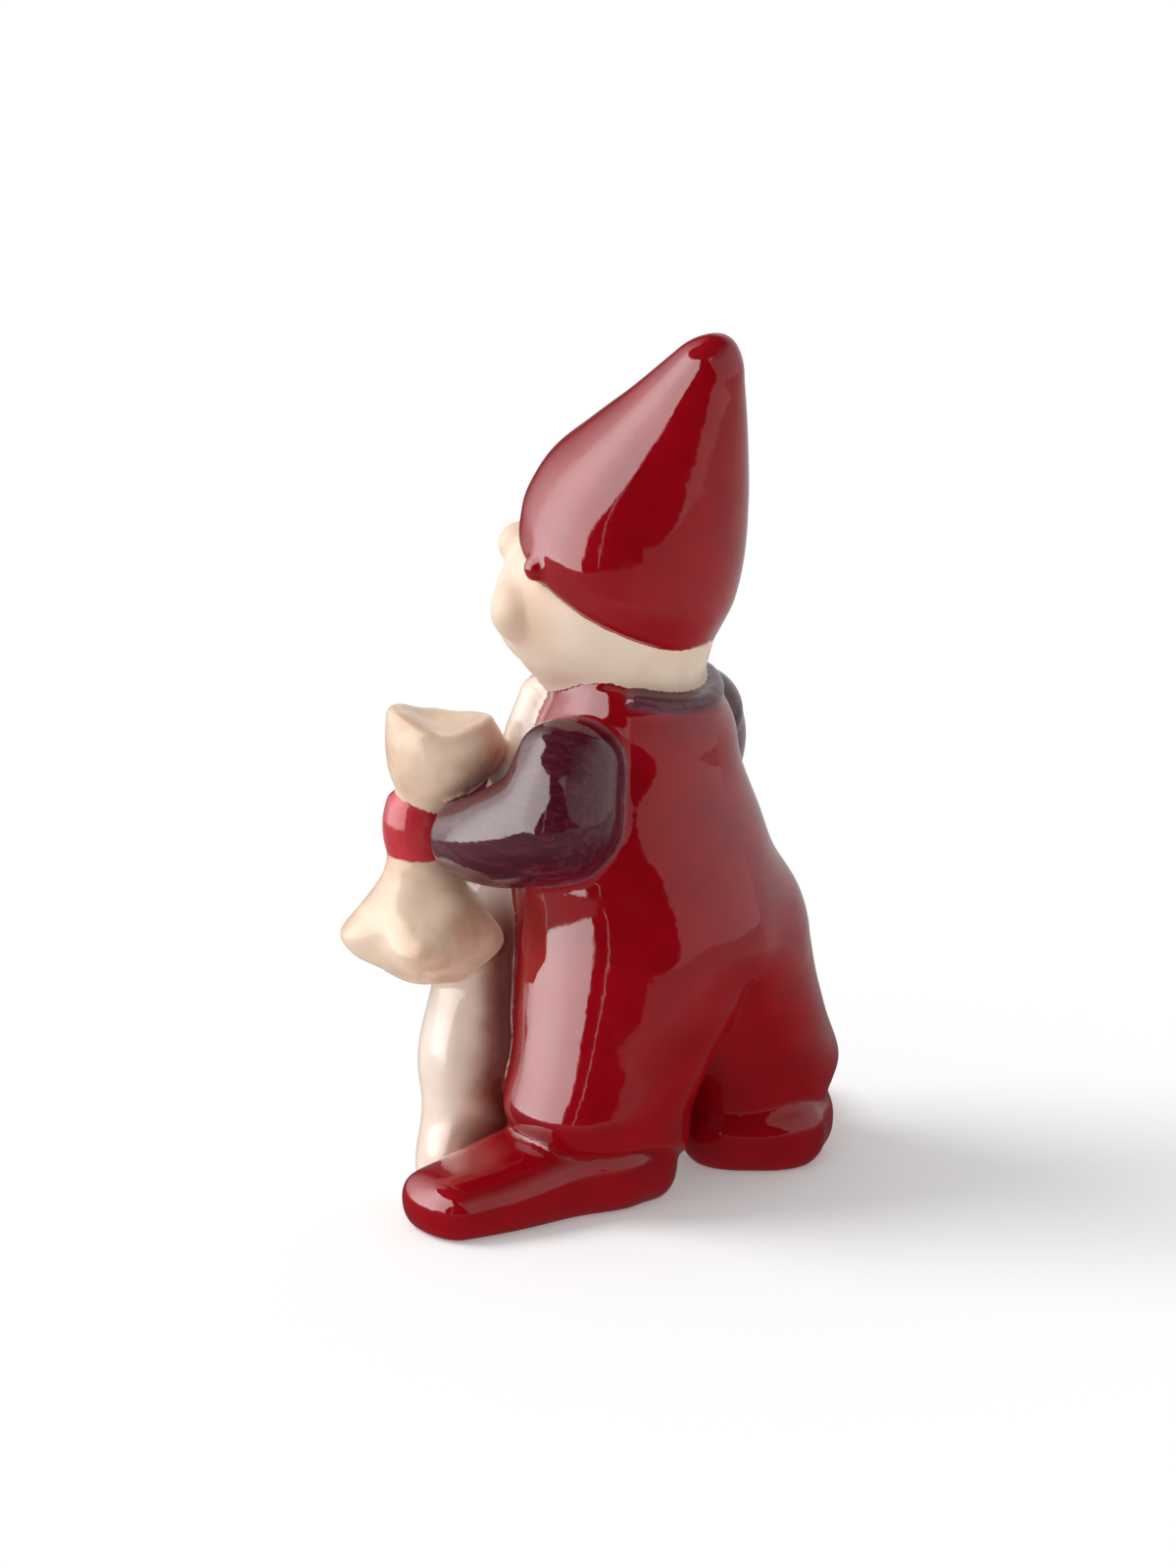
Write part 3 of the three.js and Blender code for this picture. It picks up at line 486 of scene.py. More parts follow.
# How far a joint between two kinds of section runs out, in millimetres. Others run out in SOFT_JOINT.
SOFT_JOINT = 1.1
JOINTS = {
    ("torso", "leg"): 7.0, ("leg", "leg"): 2.2, ("leg", "boot"): 2.0, ("torso", "upper arm"): 1.6,
    ("torso", "forearm"): 1.6, ("upper arm", "forearm"): 6.0, ("crook", "upper arm"): 6.0,
    ("crook", "forearm"): 6.0, ("crook", "torso"): 1.6, ("collar", "torso"): 2.4, ("head", "neck"): 3.0,
    ("head", "pad"): 2.6, ("head", "puff"): 2.6, ("pad", "puff"): 2.6, ("neck", "pad"): 2.0,
    ("hat", "head"): 0.8, ("hat", "nub"): 0.9,
}

# Joints wider than BROAD_JOINT are evened out far beyond their own width. They are only filled up, but one
# wider than SEAT_JOINT is cut back too.
BROAD_JOINT, SEAT_JOINT = 5, 6.5


def joint_width(a, b):
    for (one, other), width in JOINTS.items():
        if (one in a and other in b) or (one in b and other in a):
            return width
    return SOFT_JOINT


def relaxed(points, edges, share, rounds, only=None):
    """Points drawn towards the middle of their neighbours, again and again."""
    points = points.copy()
    if only is not None:
        edges = edges[only[edges].any(1)]
    a, b = edges.T
    count = np.maximum(np.bincount(a, minlength=len(points)) + np.bincount(b, minlength=len(points)), 1)
    for _ in range(rounds):
        total = [np.bincount(a, points[b, i], len(points)) + np.bincount(b, points[a, i], len(points))
                 for i in range(3)]
        step = (np.stack(total, 1) / count[:, None] - points) * share
        points += step if only is None else step * only[:, None]
    return points


def placed(name, data):
    """An object with that mesh, camera or light, put in the scene."""
    obj = bpy.data.objects.new(name, data)
    bpy.context.collection.objects.link(obj)
    return obj


def sides_of(quads):
    """The sides of all the quads, as pairs of points."""
    return np.concatenate([quads[:, [i, (i + 1) % 4]] for i in range(4)])


def edges_of(quads):
    return np.unique(np.sort(sides_of(quads), 1), axis=0)


def normals_of(points, quads):
    p = points[quads]
    flat = np.cross(p[:, 2] - p[:, 0], p[:, 3] - p[:, 1])
    normals = np.zeros_like(points)
    for i in range(4):
        for axis in range(3):
            normals[:, axis] += np.bincount(quads[:, i], flat[:, axis], len(points))
    return normals / np.maximum(np.linalg.norm(normals, axis=1, keepdims=True), 1e-12)


def remeshed(listed, grain):
    """The sections as one skin of even quads, with everything inside it gone."""
    vertices, faces = [], []
    for _, _, (skin, skin_faces) in listed:
        start = sum(len(v) for v in vertices)
        vertices.append(skin)
        faces += [[start + int(v) for v in face] for face in skin_faces]
    mesh = bpy.data.meshes.new("sections")
    mesh.from_pydata(np.vstack(vertices).tolist(), [], faces)
    body = placed("sections", mesh)
    modifier = body.modifiers.new("skin", "REMESH")
    modifier.mode = "VOXEL"
    modifier.voxel_size = grain
    done = body.evaluated_get(bpy.context.evaluated_depsgraph_get()).to_mesh()
    points = np.empty(len(done.vertices) * 3, np.float32)
    done.vertices.foreach_get("co", points)
    corners = np.empty(len(done.loops), np.int32)
    done.loops.foreach_get("vertex_index", corners)
    body.to_mesh_clear()
    bpy.data.objects.remove(body)
    bpy.data.meshes.remove(mesh)
    return points.reshape(-1, 3).astype(float), corners.reshape(-1, 4)


def nearest(points, listed, reach):
    """For each point the distance to every section and the closest spot on the closest one."""
    distance = np.full((len(points), len(listed)), float(reach))
    best = np.full(len(points), float(reach))
    spot = points.copy()
    for k, (_, _, (skin, faces)) in enumerate(listed):
        near = ((points > skin.min(0) - reach) & (points < skin.max(0) + reach)).all(1)
        find = BVHTree.FromPolygons(skin.tolist(), faces).find_nearest
        for i in np.nonzero(near)[0].tolist():
            hit, _, _, gap = find(points[i], reach)
            if hit is None:
                continue
            distance[i, k] = gap
            if gap < best[i]:
                best[i] = gap
                spot[i] = hit
    return distance, spot


def waves(points, size, seed, count=14):
    """Slow random waves over the points, about that many millimetres long and between -1 and 1."""
    rng = np.random.default_rng(seed)
    total = np.zeros(len(points))
    for _ in range(count):
        direction = unit(rng.normal(size=3)) * (2 * math.pi / (size * rng.uniform(0.7, 1.5)))
        total += np.sin(points @ direction + rng.uniform(0, 2 * math.pi))
    return total / math.sqrt(count)


def smooth_step(value):
    value = np.clip(value, 0, 1)
    return value * value * (3 - 2 * value)


def eased(points, quads, edges, listed):
    """Points drawn onto their own sections, and eased where two sections join. Also gives their distances to
    all the sections."""
    reach, near = 8, 7.9
    kinds = [kind for _, kind, _ in listed]
    points = relaxed(points, edges, share=0.6, rounds=10)
    distance, spot = nearest(points, listed, reach)

    order = np.argsort(distance, axis=1)[:, :2]
    width_of = np.array([[joint_width(a, b) for b in kinds] for a in kinds])
    width = width_of[order[:, 0], order[:, 1]]
    second = np.take_along_axis(distance, order[:, 1:2], 1)[:, 0]
    own = smooth_step(second / width)
    broad = (width > BROAD_JOINT) & (second < near)
    soft = relaxed(points, edges, 0.6, rounds=160, only=broad * smooth_step((near - second) / 2))
    outward = normals_of(points, quads)
    filled = np.maximum(((soft - points) * outward).sum(1), 0)
    soft = np.where(width[:, None] > SEAT_JOINT, soft, points + outward * filled[:, None])
    points = spot * own[:, None] + soft * (1 - own)[:, None]
    return relaxed(points, edges, share=0.5, rounds=6), distance


def relaxed_borders(points, quads, label):
    """Evens out the lines along which the pieces meet."""
    sides = np.sort(sides_of(quads), 1)
    owner = np.tile(label, 4)
    order = np.lexsort((sides[:, 1], sides[:, 0]))
    sides, owner = sides[order], owner[order]
    same = (sides[1:] == sides[:-1]).all(1) & (owner[1:] != owner[:-1])
    border = sides[1:][same]
    on_border = np.zeros(len(points))
    on_border[border.ravel()] = 1
    return relaxed(points, border, share=0.5, rounds=8, only=on_border)


def glaze_height(points, to_piece):
    """Slow waves in the glaze, and hand-pressed dents in the sack and the beard away from their joints."""
    height = mm("glaze_wave") * (waves(points, 22, seed=3) + 0.2 * waves(points, 7, seed=5))
    apart = np.sort(to_piece, axis=1)
    softly_folded = np.isin(to_piece.argmin(1), [PIECES.index("sack"), PIECES.index("beard")])
    dents = softly_folded * smooth_step((apart[:, 1] - apart[:, 0]) / 4)
    height += mm("dent_depth") * dents * waves(points * [1, 1, 0.55], 11, seed=9)
    return height


def hollow_at(points, normals, edges):
    """How hollow the skin is at each point: above 0 in a joint or a fold, and below 0 on a ridge."""
    middle = relaxed(points, edges, share=1.0, rounds=1)
    hollow = 2 * ((middle - points) * normals).sum(1) / mm("skin_grain") ** 2
    return relaxed(np.stack([hollow] * 3, 1), edges, share=0.6, rounds=6)[:, 0]


def zones(points, to_piece):
    """Distances in millimetres that say where each glaze lies, where the eyes are, and where shade is painted
    on the cheeks.
    """
    eyes = [head_centre() + unit(np.array([x, -13.3, 10])) * mm("head_radius") for x in (5, -5)]
    cheeks = [head_centre() + np.array([x, -5.7, 0.4]) for x in (16.2, -16.2)]
    column = {piece: to_piece[:, k] for k, piece in enumerate(PIECES)}
    red, aubergine, cream = (np.minimum.reduce([column[piece] for piece in group])
                             for group in (RED, AUBERGINE, CREAM))
    return {
        "cream_zone": np.minimum(red, aubergine) - cream,
        "aubergine_zone": np.minimum(red, cream) - aubergine,
        "mitten_zone": np.minimum(column["left_mitten"], column["right_mitten"]),
        "eye_zone": np.minimum.reduce([np.linalg.norm(points - eye, axis=1) for eye in eyes]),
        "cheek_zone": np.minimum.reduce([np.linalg.norm(points - cheek, axis=1) for cheek in cheeks]),
    }


def fused_skin():
    """The whole figure as one glazed skin, with what the painting of it needs at each point."""
    listed = sections()
    points, quads = remeshed(listed, mm("skin_grain"))
    edges = edges_of(quads)
    points, distance = eased(points, quads, edges, listed)

    owners = [[k for k, (owner, _, _) in enumerate(listed) if owner == piece] for piece in PIECES]
    to_piece = np.stack([distance[:, owned].min(1) for owned in owners], 1)
    label = to_piece[quads].mean(1).argmin(1)
    points = relaxed_borders(points, quads, label)
    points = points + normals_of(points, quads) * glaze_height(points, to_piece)[:, None]
    points[:, 2] = np.maximum(points[:, 2], 0)
    normals = normals_of(points, quads)
    fields = zones(points, to_piece) | {"hollow": hollow_at(points, normals, edges)}
    return {"points": points, "quads": quads, "normals": normals, "label": label, "fields": fields}


skin_cache = {}


def whole_skin():
    if not skin_cache:
        skin_cache.update(fused_skin())
    return skin_cache


def row_shift():
    """From the figure's own frame to the row's, read from a piece whose middle is known."""
    low, high = (np.array(corner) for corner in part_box("left_mitten"))
    shift = (low + high) / 2 / METRES - SACK_NECK - LEFT_GRIP
    return shift * [1, 1, 0]


def part(piece, material):
    """One piece of the fused skin, closed to a thin shell, in place of its CAD solid."""
    whole = whole_skin()
    quads = whole["quads"][whole["label"] == PIECES.index(piece)]
    used, flat = np.unique(quads, return_inverse=True)
    quads = flat.reshape(-1, 4)
    points, normals = whole["points"][used], whole["normals"][used]
    inner = points - normals * mm("shell")
    sides = sides_of(quads)
    key = np.sort(sides, 1) @ [len(used), 1]
    _, first, count = np.unique(key, return_index=True, return_counts=True)
    rim = sides[first[count == 1]]
    n = len(used)
    walls = np.column_stack([rim[:, 1], rim[:, 0], rim[:, 0] + n, rim[:, 1] + n])
    faces = np.vstack([quads, quads[:, ::-1] + n, walls])
    mesh = bpy.data.meshes.new("glazed_" + piece)
    vertices = (np.vstack([points, inner]) + row_shift()) * METRES
    mesh.from_pydata(vertices.tolist(), [], faces.tolist())
    for name, values in whole["fields"].items():
        attribute = mesh.attributes.new(name, "FLOAT", "POINT")
        attribute.data.foreach_set("value", np.tile(values[used], 2).astype(np.float32))
    mesh.shade_smooth()
    mesh.normals_split_custom_set_from_vertices(np.vstack([normals, -normals]).tolist())
    mesh.materials.append(material)
    obj = placed("glazed_" + piece, mesh)
    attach(obj, "root")
    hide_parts(piece)


def empty_tree(owner):
    """The node tree of a material or a world, with nothing in it."""
    owner.use_nodes = True
    owner.node_tree.nodes.clear()
    return owner.node_tree


def add(tree, kind, inputs=(), **settings):
    """Adds a node with its settings; each input is given a value or linked from another node's socket."""
    node = tree.nodes.new("ShaderNode" + kind)
    for key, value in settings.items():
        setattr(node, key, value)
    for key, value in dict(inputs).items():
        if isinstance(value, bpy.types.NodeSocket):
            tree.links.new(value, node.inputs[key])
        else:
            node.inputs[key].default_value = value
    return node


def per(millimetres):
    """The scale of a pattern that repeats about every so many millimetres."""
    return 1 / (millimetres * METRES)


def fired_glaze(name, gloss, wave, pinholes, clouds, red_shade_reach=0.0, ior=1.56, thick=0.0):
    """A fired glaze over white earthenware, painted in zones that run into each other a little where two
    glazes meet. The reach argument after clouds is how far, in millimetres, a painted red-brown shade spreads
    into the cream beside the red: it stands for the red suit's shadow and red reflection there. Thick is how
    much of the cream lies thick and whiter."""
    if name in bpy.data.materials:
        return bpy.data.materials[name]
    glazes = bpy.context.scene.elf_glazes
    material = bpy.data.materials.new(name)
    tree = empty_tree(material)
    place = add(tree, "TexCoord").outputs["Object"]

    def zone(attribute):
        return add(tree, "Attribute", attribute_name=attribute).outputs["Fac"]

    def noise(scale, detail=2.0, vector=place, distortion=0.0):
        return add(tree, "TexNoise", {"Vector": vector, "Scale": scale, "Detail": detail,
                                      "Distortion": distortion}).outputs[0]

    def ramp(value, low, high, out_low=0.0, out_high=1.0):
        return add(tree, "MapRange", {"Value": value, "From Min": low, "From Max": high, "To Min": out_low,
                                      "To Max": out_high}, interpolation_type="SMOOTHSTEP").outputs[0]

    def mix(share, a, b):
        a, b = (list(getattr(glazes, c)) if isinstance(c, str) else c for c in (a, b))
        return add(tree, "Mix", {0: share, 6: a, 7: b}, data_type="RGBA").outputs[2]

    def total(a, b, operation="ADD"):
        return add(tree, "Math", {0: a, 1: b}, operation=operation).outputs[0]

    # Red glaze is unevenly deep, pools darker in the joints and clouds over where it is thick.
    pooled = ramp(zone("hollow"), 0.04, 0.5)
    cloud = noise(per(9), 3)
    red = mix(ramp(cloud, 0.3, 0.75, 0, 0.35), "red", "red_pooled")
    red = mix(pooled, red, "red_pooled")
    near_mitten = ramp(zone("mitten_zone"), 0.2, 1.2, 1, 0)
    clouded = ramp(noise(per(4)), 0.35, 0.6, 1.0, 0.7)
    red = mix(total(near_mitten, clouded, "MULTIPLY"), red, "red_milky")

    # Underglaze laid on with a brush along the arm: strokes 1 mm wide and 8 mm long.
    stretched = add(tree, "Mapping", {"Vector": place, "Scale": (1.0, 0.14, 1.0)}).outputs[0]
    strokes = noise(per(1.1), 4, stretched, 0.6)
    aubergine = mix(ramp(strokes, 0.42, 0.72), "aubergine", "aubergine_worn")

    # Cream glaze clouds over to a warmer tone every centimetre or so, and pools in the folds.
    warm = ramp(noise(per(11), 4, place, 0.4), 0.42, 0.7, 0, clouds)
    cream = mix(thick, "cream", "cream_thick")
    cream = mix(warm, cream, "cream_warm")
    cream = mix(total(pooled, 0.6, "MULTIPLY"), cream, "cream_pooled")
    # Painted shade: a darker patch on the side of each cheek.
    cream = mix(ramp(zone("cheek_zone"), 1.0, 9.5, 0.6, 0), cream, "cream_pooled")
    # Painted shade and red reflection: low on the beard, the cream darkens in two bands to red-brown beside
    # the red suit, standing for the suit's shadow and red reflection.
    if red_shade_reach:
        height = add(tree, "SeparateXYZ", {"Vector": place}).outputs["Z"]
        from_red = total(zone("cream_zone"), total(noise(per(6)), 2.4, "MULTIPLY"))
        lowest, highest = 42 * METRES, 56 * METRES
        low_down = ramp(height, lowest, highest, 1, 0)
        for reach, share, shade_colour in ((red_shade_reach + 2.5, 0.8, "cream_pooled"), (red_shade_reach, 0.94, "flush")):
            shade_beside_red = ramp(from_red, 3.2, reach + 3.2, share, 0)
            cream = mix(total(shade_beside_red, low_down, "MULTIPLY"), cream, shade_colour)
    cream = mix(ramp(zone("eye_zone"), 0.9, 1.3, 1, 0), cream, "eye")

    # Where two glazes meet the line wanders by a few tenths of a millimetre; the aubergine bleeds further.
    wander = total(total(noise(per(2.2)), -0.5), 0.5, "MULTIPLY")
    edge = total(zone("aubergine_zone"), total(wander, 1.6, "MULTIPLY"))
    body = mix(ramp(edge, -0.9, 0.5), red, "aubergine_edge")
    body = mix(ramp(edge, -0.1, 1.3), body, aubergine)
    body = mix(ramp(total(zone("cream_zone"), wander), -0.12, 0.16), body, cream)

    pits = add(tree, "TexVoronoi", {"Vector": place, "Scale": per(2.6)}).outputs["Distance"]
    pit = ramp(pits, 0.03, 0.09)
    ripple = total(noise(per(5), 2), total(noise(per(1.3), 2), 0.16, "MULTIPLY"))
    bump = add(tree, "Bump", {"Strength": wave, "Distance": 0.25 * METRES, "Height": ripple}).outputs[0]
    bump = add(tree, "Bump", {"Strength": pinholes, "Distance": 0.08 * METRES, "Height": pit,
                              "Normal": bump}).outputs[0]
    shader = add(tree, "BsdfPrincipled", {
        "Base Color": body, "Metallic": 0.0, "IOR": ior, "Normal": bump,
        "Roughness": ramp(noise(per(3), 3), 0.3, 0.7, gloss, gloss + 0.04),
    })
    add(tree, "OutputMaterial", {"Surface": shader.outputs[0]})
    return material


def red_glaze():
    """Deep, wet-looking red: the clay shows through it like stained glass, so joints read darker."""
    return fired_glaze("red lead glaze over slip-cast earthenware",
                       gloss=0.05, wave=0.25, pinholes=0.1, clouds=0.3)


def milky_red_glaze():
    """The same red flooded on thickly, where it clouds over and turns lighter."""
    return fired_glaze("thick milky red glaze over slip-cast earthenware",
                       gloss=0.12, wave=0.35, pinholes=0.15, clouds=0.3, ior=1.5)


def aubergine_glaze():
    """Purple-brown underglaze brushed on in strokes under a clear glaze: dark, streaky, glassy."""
    return fired_glaze("clear glaze over brushed aubergine underglaze",
                       gloss=0.06, wave=0.4, pinholes=0.15, clouds=0.3)


def cream_glaze():
    """Warm off-white glaze that hides the clay, softly shiny, with faint warmer clouds."""
    return fired_glaze("cream glaze over slip-cast earthenware",
                       gloss=0.42, wave=0.3, pinholes=0.2, clouds=0.3, ior=1.4, thick=0.3)


def poured_cream_glaze():
    """The cream glaze run thick down the beard: shinier, with a painted red-brown shade and red reflection
    low down where it meets the suit.
    """
    return fired_glaze("poured cream glaze over slip-cast earthenware",
                       gloss=0.16, wave=0.3, pinholes=0.2, clouds=0.2, red_shade_reach=5.4, thick=0.9)


def cloudy_cream_glaze():
    """The cream glaze laid thinly on the sack, so that beige clouds and pinholes show."""
    return fired_glaze("thin cloudy cream glaze over slip-cast earthenware",
                       gloss=0.22, wave=0.5, pinholes=0.5, clouds=1.0, ior=1.45)


# The camera's viewpoint. Directions in the studio are given from it.
VIEW_AZIMUTH, VIEW_ELEVATION = math.radians(120), math.radians(16)
VIEW_RIGHT = np.array([math.cos(VIEW_AZIMUTH), math.sin(VIEW_AZIMUTH), 0])
VIEW_BACK = np.array([math.sin(VIEW_AZIMUTH) * math.cos(VIEW_ELEVATION),
                      -math.cos(VIEW_AZIMUTH) * math.cos(VIEW_ELEVATION), math.sin(VIEW_ELEVATION)])
VIEW_UP = np.cross(VIEW_BACK, VIEW_RIGHT)
WHITE = (1, 1, 1, 1)


def camera():
    """Camera 1 m from the figure, whose picture has 6 pixels to the millimetre."""
    lens = bpy.data.cameras.new("camera")
    lens.sensor_fit = "VERTICAL"
    lens.sensor_height = 36
    lens.lens = 135
    lens.clip_start = 0.01
    obj = placed("camera", lens)
    pixels_aside, pixels_per_mm, middle_height, away = -40, 6, 65, 1000
    aside = pixels_aside / pixels_per_mm
    stand = VIEW_RIGHT * aside + VIEW_UP * middle_height + VIEW_BACK * away + row_shift()
    matrix = np.eye(4)
    matrix[:3, :3] = np.column_stack([VIEW_RIGHT, VIEW_UP, VIEW_BACK])
    matrix[:3, 3] = stand * METRES
    obj.matrix_world = Matrix(matrix.tolist())
    bpy.context.scene.camera = obj


def toward(left, high):
    """The direction so many degrees to the left of the camera, seen from the figure, and so many up."""
    left, high = np.radians(left)[..., None], np.radians(high)[..., None]
    ahead = np.array([math.sin(VIEW_AZIMUTH), -math.cos(VIEW_AZIMUTH), 0])
    level = ahead * np.cos(left) - VIEW_RIGHT * np.sin(left)
    return level * np.cos(high) + Z * np.sin(high)


def panel_light():
    """Even light that leaves a panel with the strength painted on it."""
    if "studio panel" in bpy.data.materials:
        return bpy.data.materials["studio panel"]
    material = bpy.data.materials.new("studio panel")
    tree = empty_tree(material)
    glow = add(tree, "Attribute", attribute_name="glow").outputs["Fac"]
    light = add(tree, "Emission", {"Color": WHITE, "Strength": glow})
    add(tree, "OutputMaterial", {"Surface": light.outputs[0]})
    material.cycles.emission_sampling = "NONE"
    return material


def panel(name, points, strength):
    """A grid of points as a sheet with a strength painted on it, seen by gloss alone."""
    at = np.arange(points.shape[0] * points.shape[1]).reshape(points.shape[:2])
    faces = np.stack([at[:-1, :-1], at[:-1, 1:], at[1:, 1:], at[1:, :-1]], -1).reshape(-1, 4)
    mesh = bpy.data.meshes.new(name)
    mesh.from_pydata(points.reshape(-1, 3).tolist(), [], faces.tolist())
    glow = mesh.attributes.new("glow", "FLOAT", "POINT")
    glow.data.foreach_set("value", strength.ravel().astype(np.float32))
    mesh.materials.append(panel_light())
    obj = placed(name, mesh)
    for ray in ("camera", "diffuse", "transmission", "volume_scatter", "shadow"):
        setattr(obj, "visible_" + ray, False)


def card(name, edges, glow, radius=1.5, fade=((0, 1), (1, 1))):
    """A studio panel round the figure. Its edges are (degrees up, right edge, left edge), and its glow
    (degrees to the left, strength), with the camera at 0; fade is (degrees up, share of the glow)."""
    steps, middle_height = 60, 0.07
    level, right, left = np.array(edges, float)[np.argsort([row[0] for row in edges])].T
    high = np.linspace(level[0], level[-1], steps)
    right, left = np.interp(high, level, right), np.interp(high, level, left)
    turn = right[:, None] + (left - right)[:, None] * np.linspace(0, 1, steps)
    points = toward(turn, high[:, None] + 0 * turn) * radius + Z * middle_height
    share = np.interp(high, *np.array(fade, float).T)[:, None]
    panel(name, points, np.interp(turn, *np.array(glow, float).T) * share)


def shaded_floor():
    """The floor close to the figure, which mirrors darkly in the boots; it gets paler with the distance."""
    just_below = 0.0004
    out = np.linspace(0.001, 0.16, 30)[:, None]
    turn = np.radians(np.linspace(0, 360, 60))
    points = np.stack([out * np.cos(turn), out * np.sin(turn), 0 * turn - just_below + 0 * out], -1)
    panel("shaded floor", points, np.interp(out + 0 * turn, [0.06, 0.16], [0.08, 0.4]))


def background_share(tree):
    """1 for rays that should see the white background: the camera's, and those of gloss and glass."""
    path = add(tree, "LightPath").outputs
    share = path["Is Camera Ray"]
    for kind in ("Is Glossy Ray", "Is Transmission Ray"):
        share = add(tree, "Math", {0: share, 1: path[kind]}, operation="MAXIMUM").outputs[0]
    return share


def room_light():
    """White background, and a soft light from all round that is stronger on the key light's side."""
    world = bpy.data.worlds.new("white studio")
    bpy.context.scene.world = world
    tree = empty_tree(world)
    brighter_side = tuple(toward(105, 15))
    aim = add(tree, "TexCoord").outputs["Generated"]
    side = add(tree, "VectorMath", {0: aim, 1: brighter_side}, operation="DOT_PRODUCT").outputs["Value"]
    fill = add(tree, "MapRange", {"Value": side, "From Min": -1.0, "From Max": 1.0,
                                  "To Min": 0.26, "To Max": 0.78}).outputs[0]
    share = background_share(tree)
    strength = add(tree, "MapRange", {"Value": share, "To Min": fill, "To Max": 1.0}).outputs[0]
    light = add(tree, "Background", {"Color": WHITE, "Strength": strength})
    add(tree, "OutputWorld", {"Surface": light.outputs[0]})


def matt_floor():
    """Matt pale floor, which glows a little so that it runs into the background, and glows more in the light
    it throws on the figure, as a fill from below.
    """
    half = 6
    mesh = bpy.data.meshes.new("floor")
    corners = [(-half, -half, 0), (half, -half, 0), (half, half, 0), (-half, half, 0)]
    mesh.from_pydata(corners, [], [(0, 1, 2, 3)])
    material = bpy.data.materials.new("pale matt floor")
    tree = empty_tree(material)
    matt = add(tree, "BsdfDiffuse", {"Color": (0.82, 0.82, 0.82, 1)})
    share = background_share(tree)
    glow = add(tree, "MapRange", {"Value": share, "To Min": 0.42, "To Max": 0.22}).outputs[0]
    lit = add(tree, "Emission", {"Color": WHITE, "Strength": glow})
    both = add(tree, "AddShader", {0: matt.outputs[0], 1: lit.outputs[0]})
    add(tree, "OutputMaterial", {"Surface": both.outputs[0]})
    mesh.materials.append(material)
    floor = placed("floor", mesh)
    floor.visible_glossy = False


def key_light():
    """Broad, soft light from the left of the camera. The softbox card is what the gloss shows of it."""
    lamp = bpy.data.lights.new("key light", "SUN")
    lamp.energy = 1.8
    lamp.angle = math.radians(34)
    obj = placed("key light", lamp)
    obj.rotation_euler = Vector(toward(98, 46)).to_track_quat("Z", "Y").to_euler()
    obj.visible_glossy = False


def cards():
    """What the glossy glazes mirror."""
    closer, further = 1.4, 1.6
    card("softbox",
         [(-16, 46, 118), (8, 44, 118), (18, 38, 118), (30, 24, 118), (40, 32, 118), (46, 36, 118)],
         [(43, 4.8), (60, 5.4), (75, 6.4), (90, 6.2), (105, 4.8), (118, 2.6)])
    card("dark panel over the softbox", [(46, -20, 118), (60, -20, 118)], [(-20, 0.05), (118, 0.05)])
    card("dim far side", [(-16, 118, 250), (60, 118, 250)],
         [(118, 2.6), (135, 1.3), (150, 0.5), (160, 0.12), (168, 0.08), (176, 0.6), (184, 0.95), (215, 0.95),
          (250, 0.85)], fade=[(-16, 0.5), (-4, 0.7), (6, 1), (40, 1), (60, 0.3)])
    card("pale panel to the right", [(-16, -110, -8), (60, -110, -8)],
         [(-110, 0.9), (-85, 0.9), (-60, 0.75), (-30, 0.6), (-8, 0.5)], further,
         [(0, 1), (28, 1), (44, 0.5), (60, 0.08)])
    card("dark flags at the camera",
         [(-16, -12, 46), (-9, -16, 45), (-2, -38, 44), (8, -28, 43), (18, -20, 38), (24, -14, 30),
          (28, -10, 25), (34, -5, 27), (45, 10, 34), (60, 20, 40)], [(-60, 0.01), (46, 0.01)])
    card("gap between the flags", [(-10, 30, 31), (26, 27, 28)], [(0, 2.5), (40, 2.5)], closer)
    card("dark ceiling", [(60, -110, 250), (90, -110, 250)], [(-20, 0.05), (250, 0.05)])
    card("far floor", [(-12, -10, 250), (-90, -10, 250)],
         [(-10, 0.3), (15, 0.2), (60, 0.35), (90, 0.4), (120, 0.35), (150, 0.4), (170, 0.5), (215, 0.5),
          (250, 0.45)], closer)
    card("far floor to the right", [(-5, -110, -10), (-90, -110, -10)],
         [(-110, 0.45), (-60, 0.4), (-10, 0.3)], closer)
    shaded_floor()


def studio():
    bpy.context.scene.view_settings.view_transform = "Standard"
    room_light()
    matt_floor()
    key_light()
    cards()


def build(pieces, glaze):
    """Builds some pieces with one glaze, for an operator."""
    for piece in pieces:
        part(piece, glaze())
    return {"FINISHED"}


class ELF_OT_suit(bpy.types.Operator):
    """Builds the suit with its trouser legs"""
    bl_idname = "elf.suit"
    bl_label = "Suit"

    def execute(self, context):
        return build(["suit"], red_glaze)


class ELF_OT_hat(bpy.types.Operator):
    """Builds the pointed hat"""
    bl_idname = "elf.hat"
    bl_label = "Hat"

    def execute(self, context):
        return build(["hat"], red_glaze)


class ELF_OT_boots(bpy.types.Operator):
    """Builds both boots"""
    bl_idname = "elf.boots"
    bl_label = "Boots"

    def execute(self, context):
        return build(["left_boot", "right_boot"], red_glaze)


class ELF_OT_mittens(bpy.types.Operator):
    """Builds both mittens round the neck of the sack"""
    bl_idname = "elf.mittens"
    bl_label = "Mittens"

    def execute(self, context):
        return build(["left_mitten", "right_mitten"], milky_red_glaze)


class ELF_OT_shirt(bpy.types.Operator):
    """Builds the shirt's sleeves and collar"""
    bl_idname = "elf.shirt"
    bl_label = "Sleeves and collar"

    def execute(self, context):
        return build(AUBERGINE, aubergine_glaze)


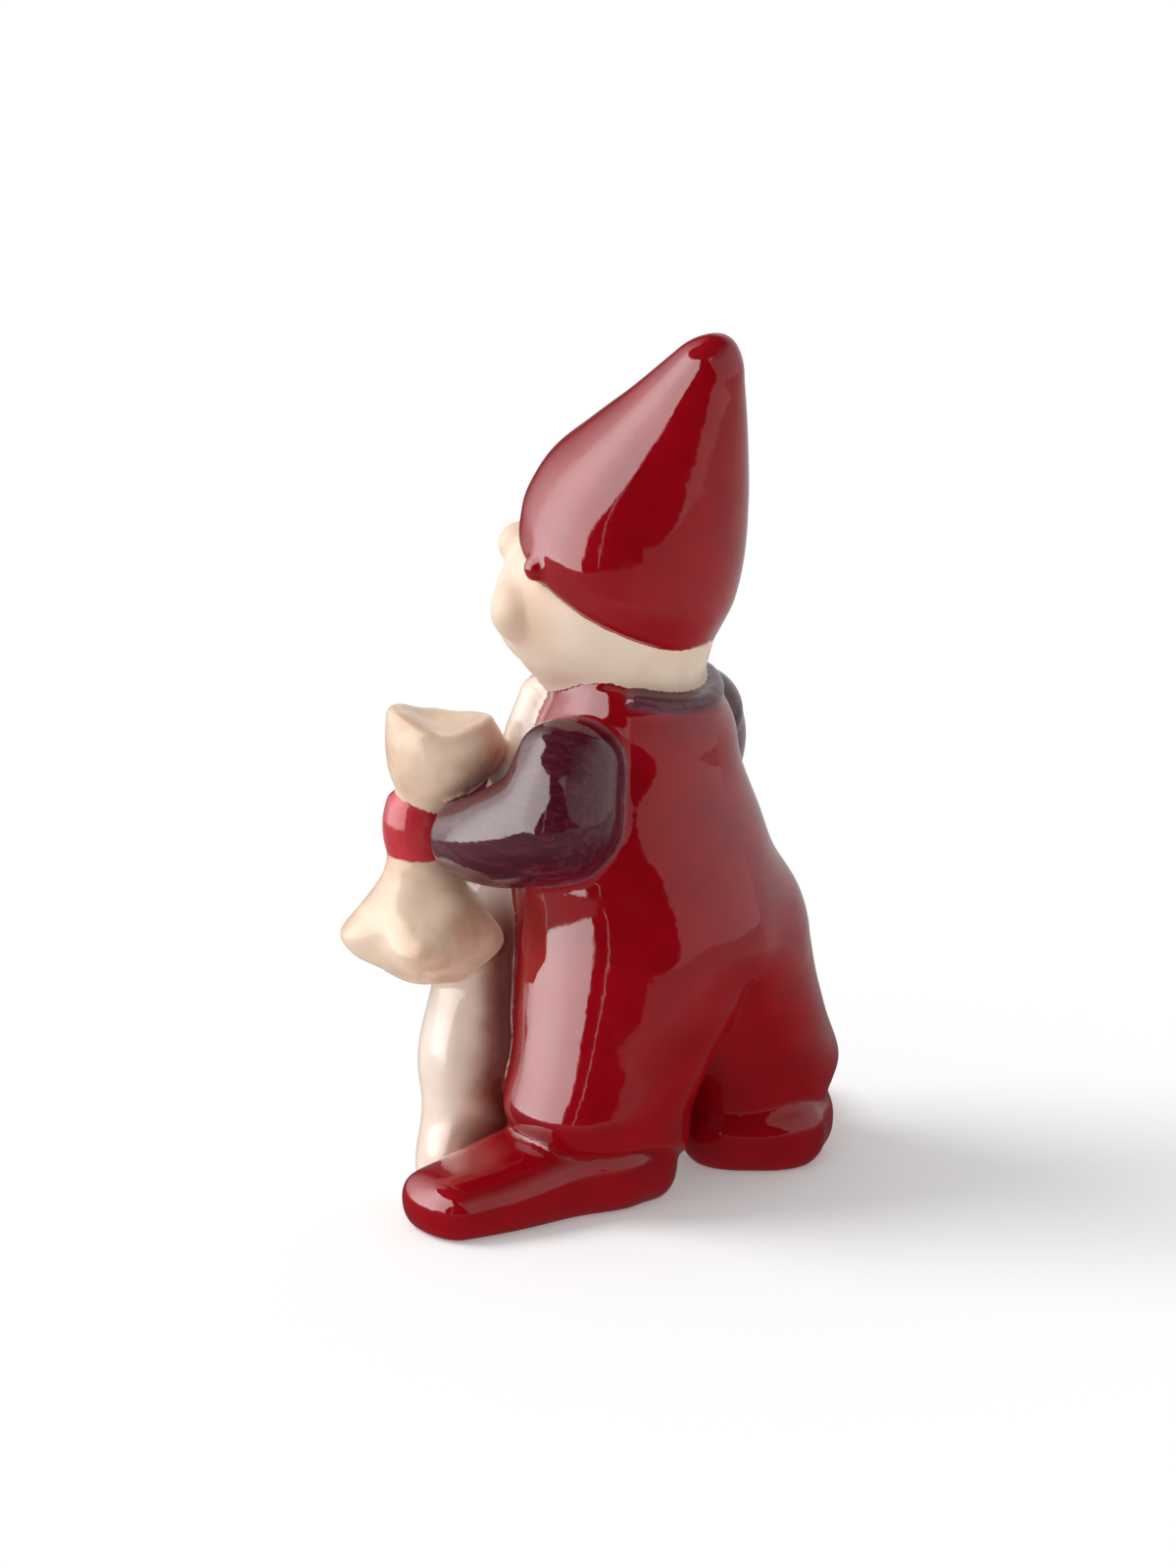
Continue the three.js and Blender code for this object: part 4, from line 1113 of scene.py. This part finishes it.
class ELF_OT_head(bpy.types.Operator):
    """Builds the head with its nose and moustache"""
    bl_idname = "elf.head"
    bl_label = "Head, nose and moustache"

    def execute(self, context):
        return build(["head", "nose", "moustache"], cream_glaze)


class ELF_OT_beard(bpy.types.Operator):
    """Builds the beard that reaches the floor"""
    bl_idname = "elf.beard"
    bl_label = "Beard"

    def execute(self, context):
        return build(["beard"], poured_cream_glaze)


class ELF_OT_sack(bpy.types.Operator):
    """Builds the sack"""
    bl_idname = "elf.sack"
    bl_label = "Sack"

    def execute(self, context):
        return build(["sack"], cloudy_cream_glaze)


class ELF_OT_stage(bpy.types.Operator):
    """Sets the floor, the studio light and the camera"""
    bl_idname = "elf.stage"
    bl_label = "Stage"

    def execute(self, context):
        camera()
        studio()
        return {"FINISHED"}


OPERATORS = (ELF_OT_suit, ELF_OT_hat, ELF_OT_boots, ELF_OT_mittens, ELF_OT_shirt, ELF_OT_head, ELF_OT_beard,
             ELF_OT_sack, ELF_OT_stage)


class ELF_PT_panel(bpy.types.Panel):
    """Lists the figure's pieces, sizes and glazes"""
    bl_idname = "ELF_PT_panel"
    bl_label = "Christmas elf"
    bl_space_type = "VIEW_3D"
    bl_region_type = "UI"
    bl_category = "Elf"

    def draw(self, context):
        for operator in OPERATORS:
            self.layout.operator(operator.bl_idname)
        for group in (context.scene.elf_sizes, context.scene.elf_glazes):
            column = self.layout.column()
            for key in group.__annotations__:
                column.prop(group, key)


CLASSES = (ElfSizes, ElfGlazes, *OPERATORS, ELF_PT_panel)


def register():
    for cls in CLASSES:
        bpy.utils.register_class(cls)
    bpy.types.Scene.elf_sizes = bpy.props.PointerProperty(type=ElfSizes)
    bpy.types.Scene.elf_glazes = bpy.props.PointerProperty(type=ElfGlazes)


def unregister():
    del bpy.types.Scene.elf_glazes
    del bpy.types.Scene.elf_sizes
    for cls in reversed(CLASSES):
        bpy.utils.unregister_class(cls)


def main():
    register()
    for operator in OPERATORS:
        group, name = operator.bl_idname.split(".")
        getattr(getattr(bpy.ops, group), name)()


if __name__ == "__main__":
    main()
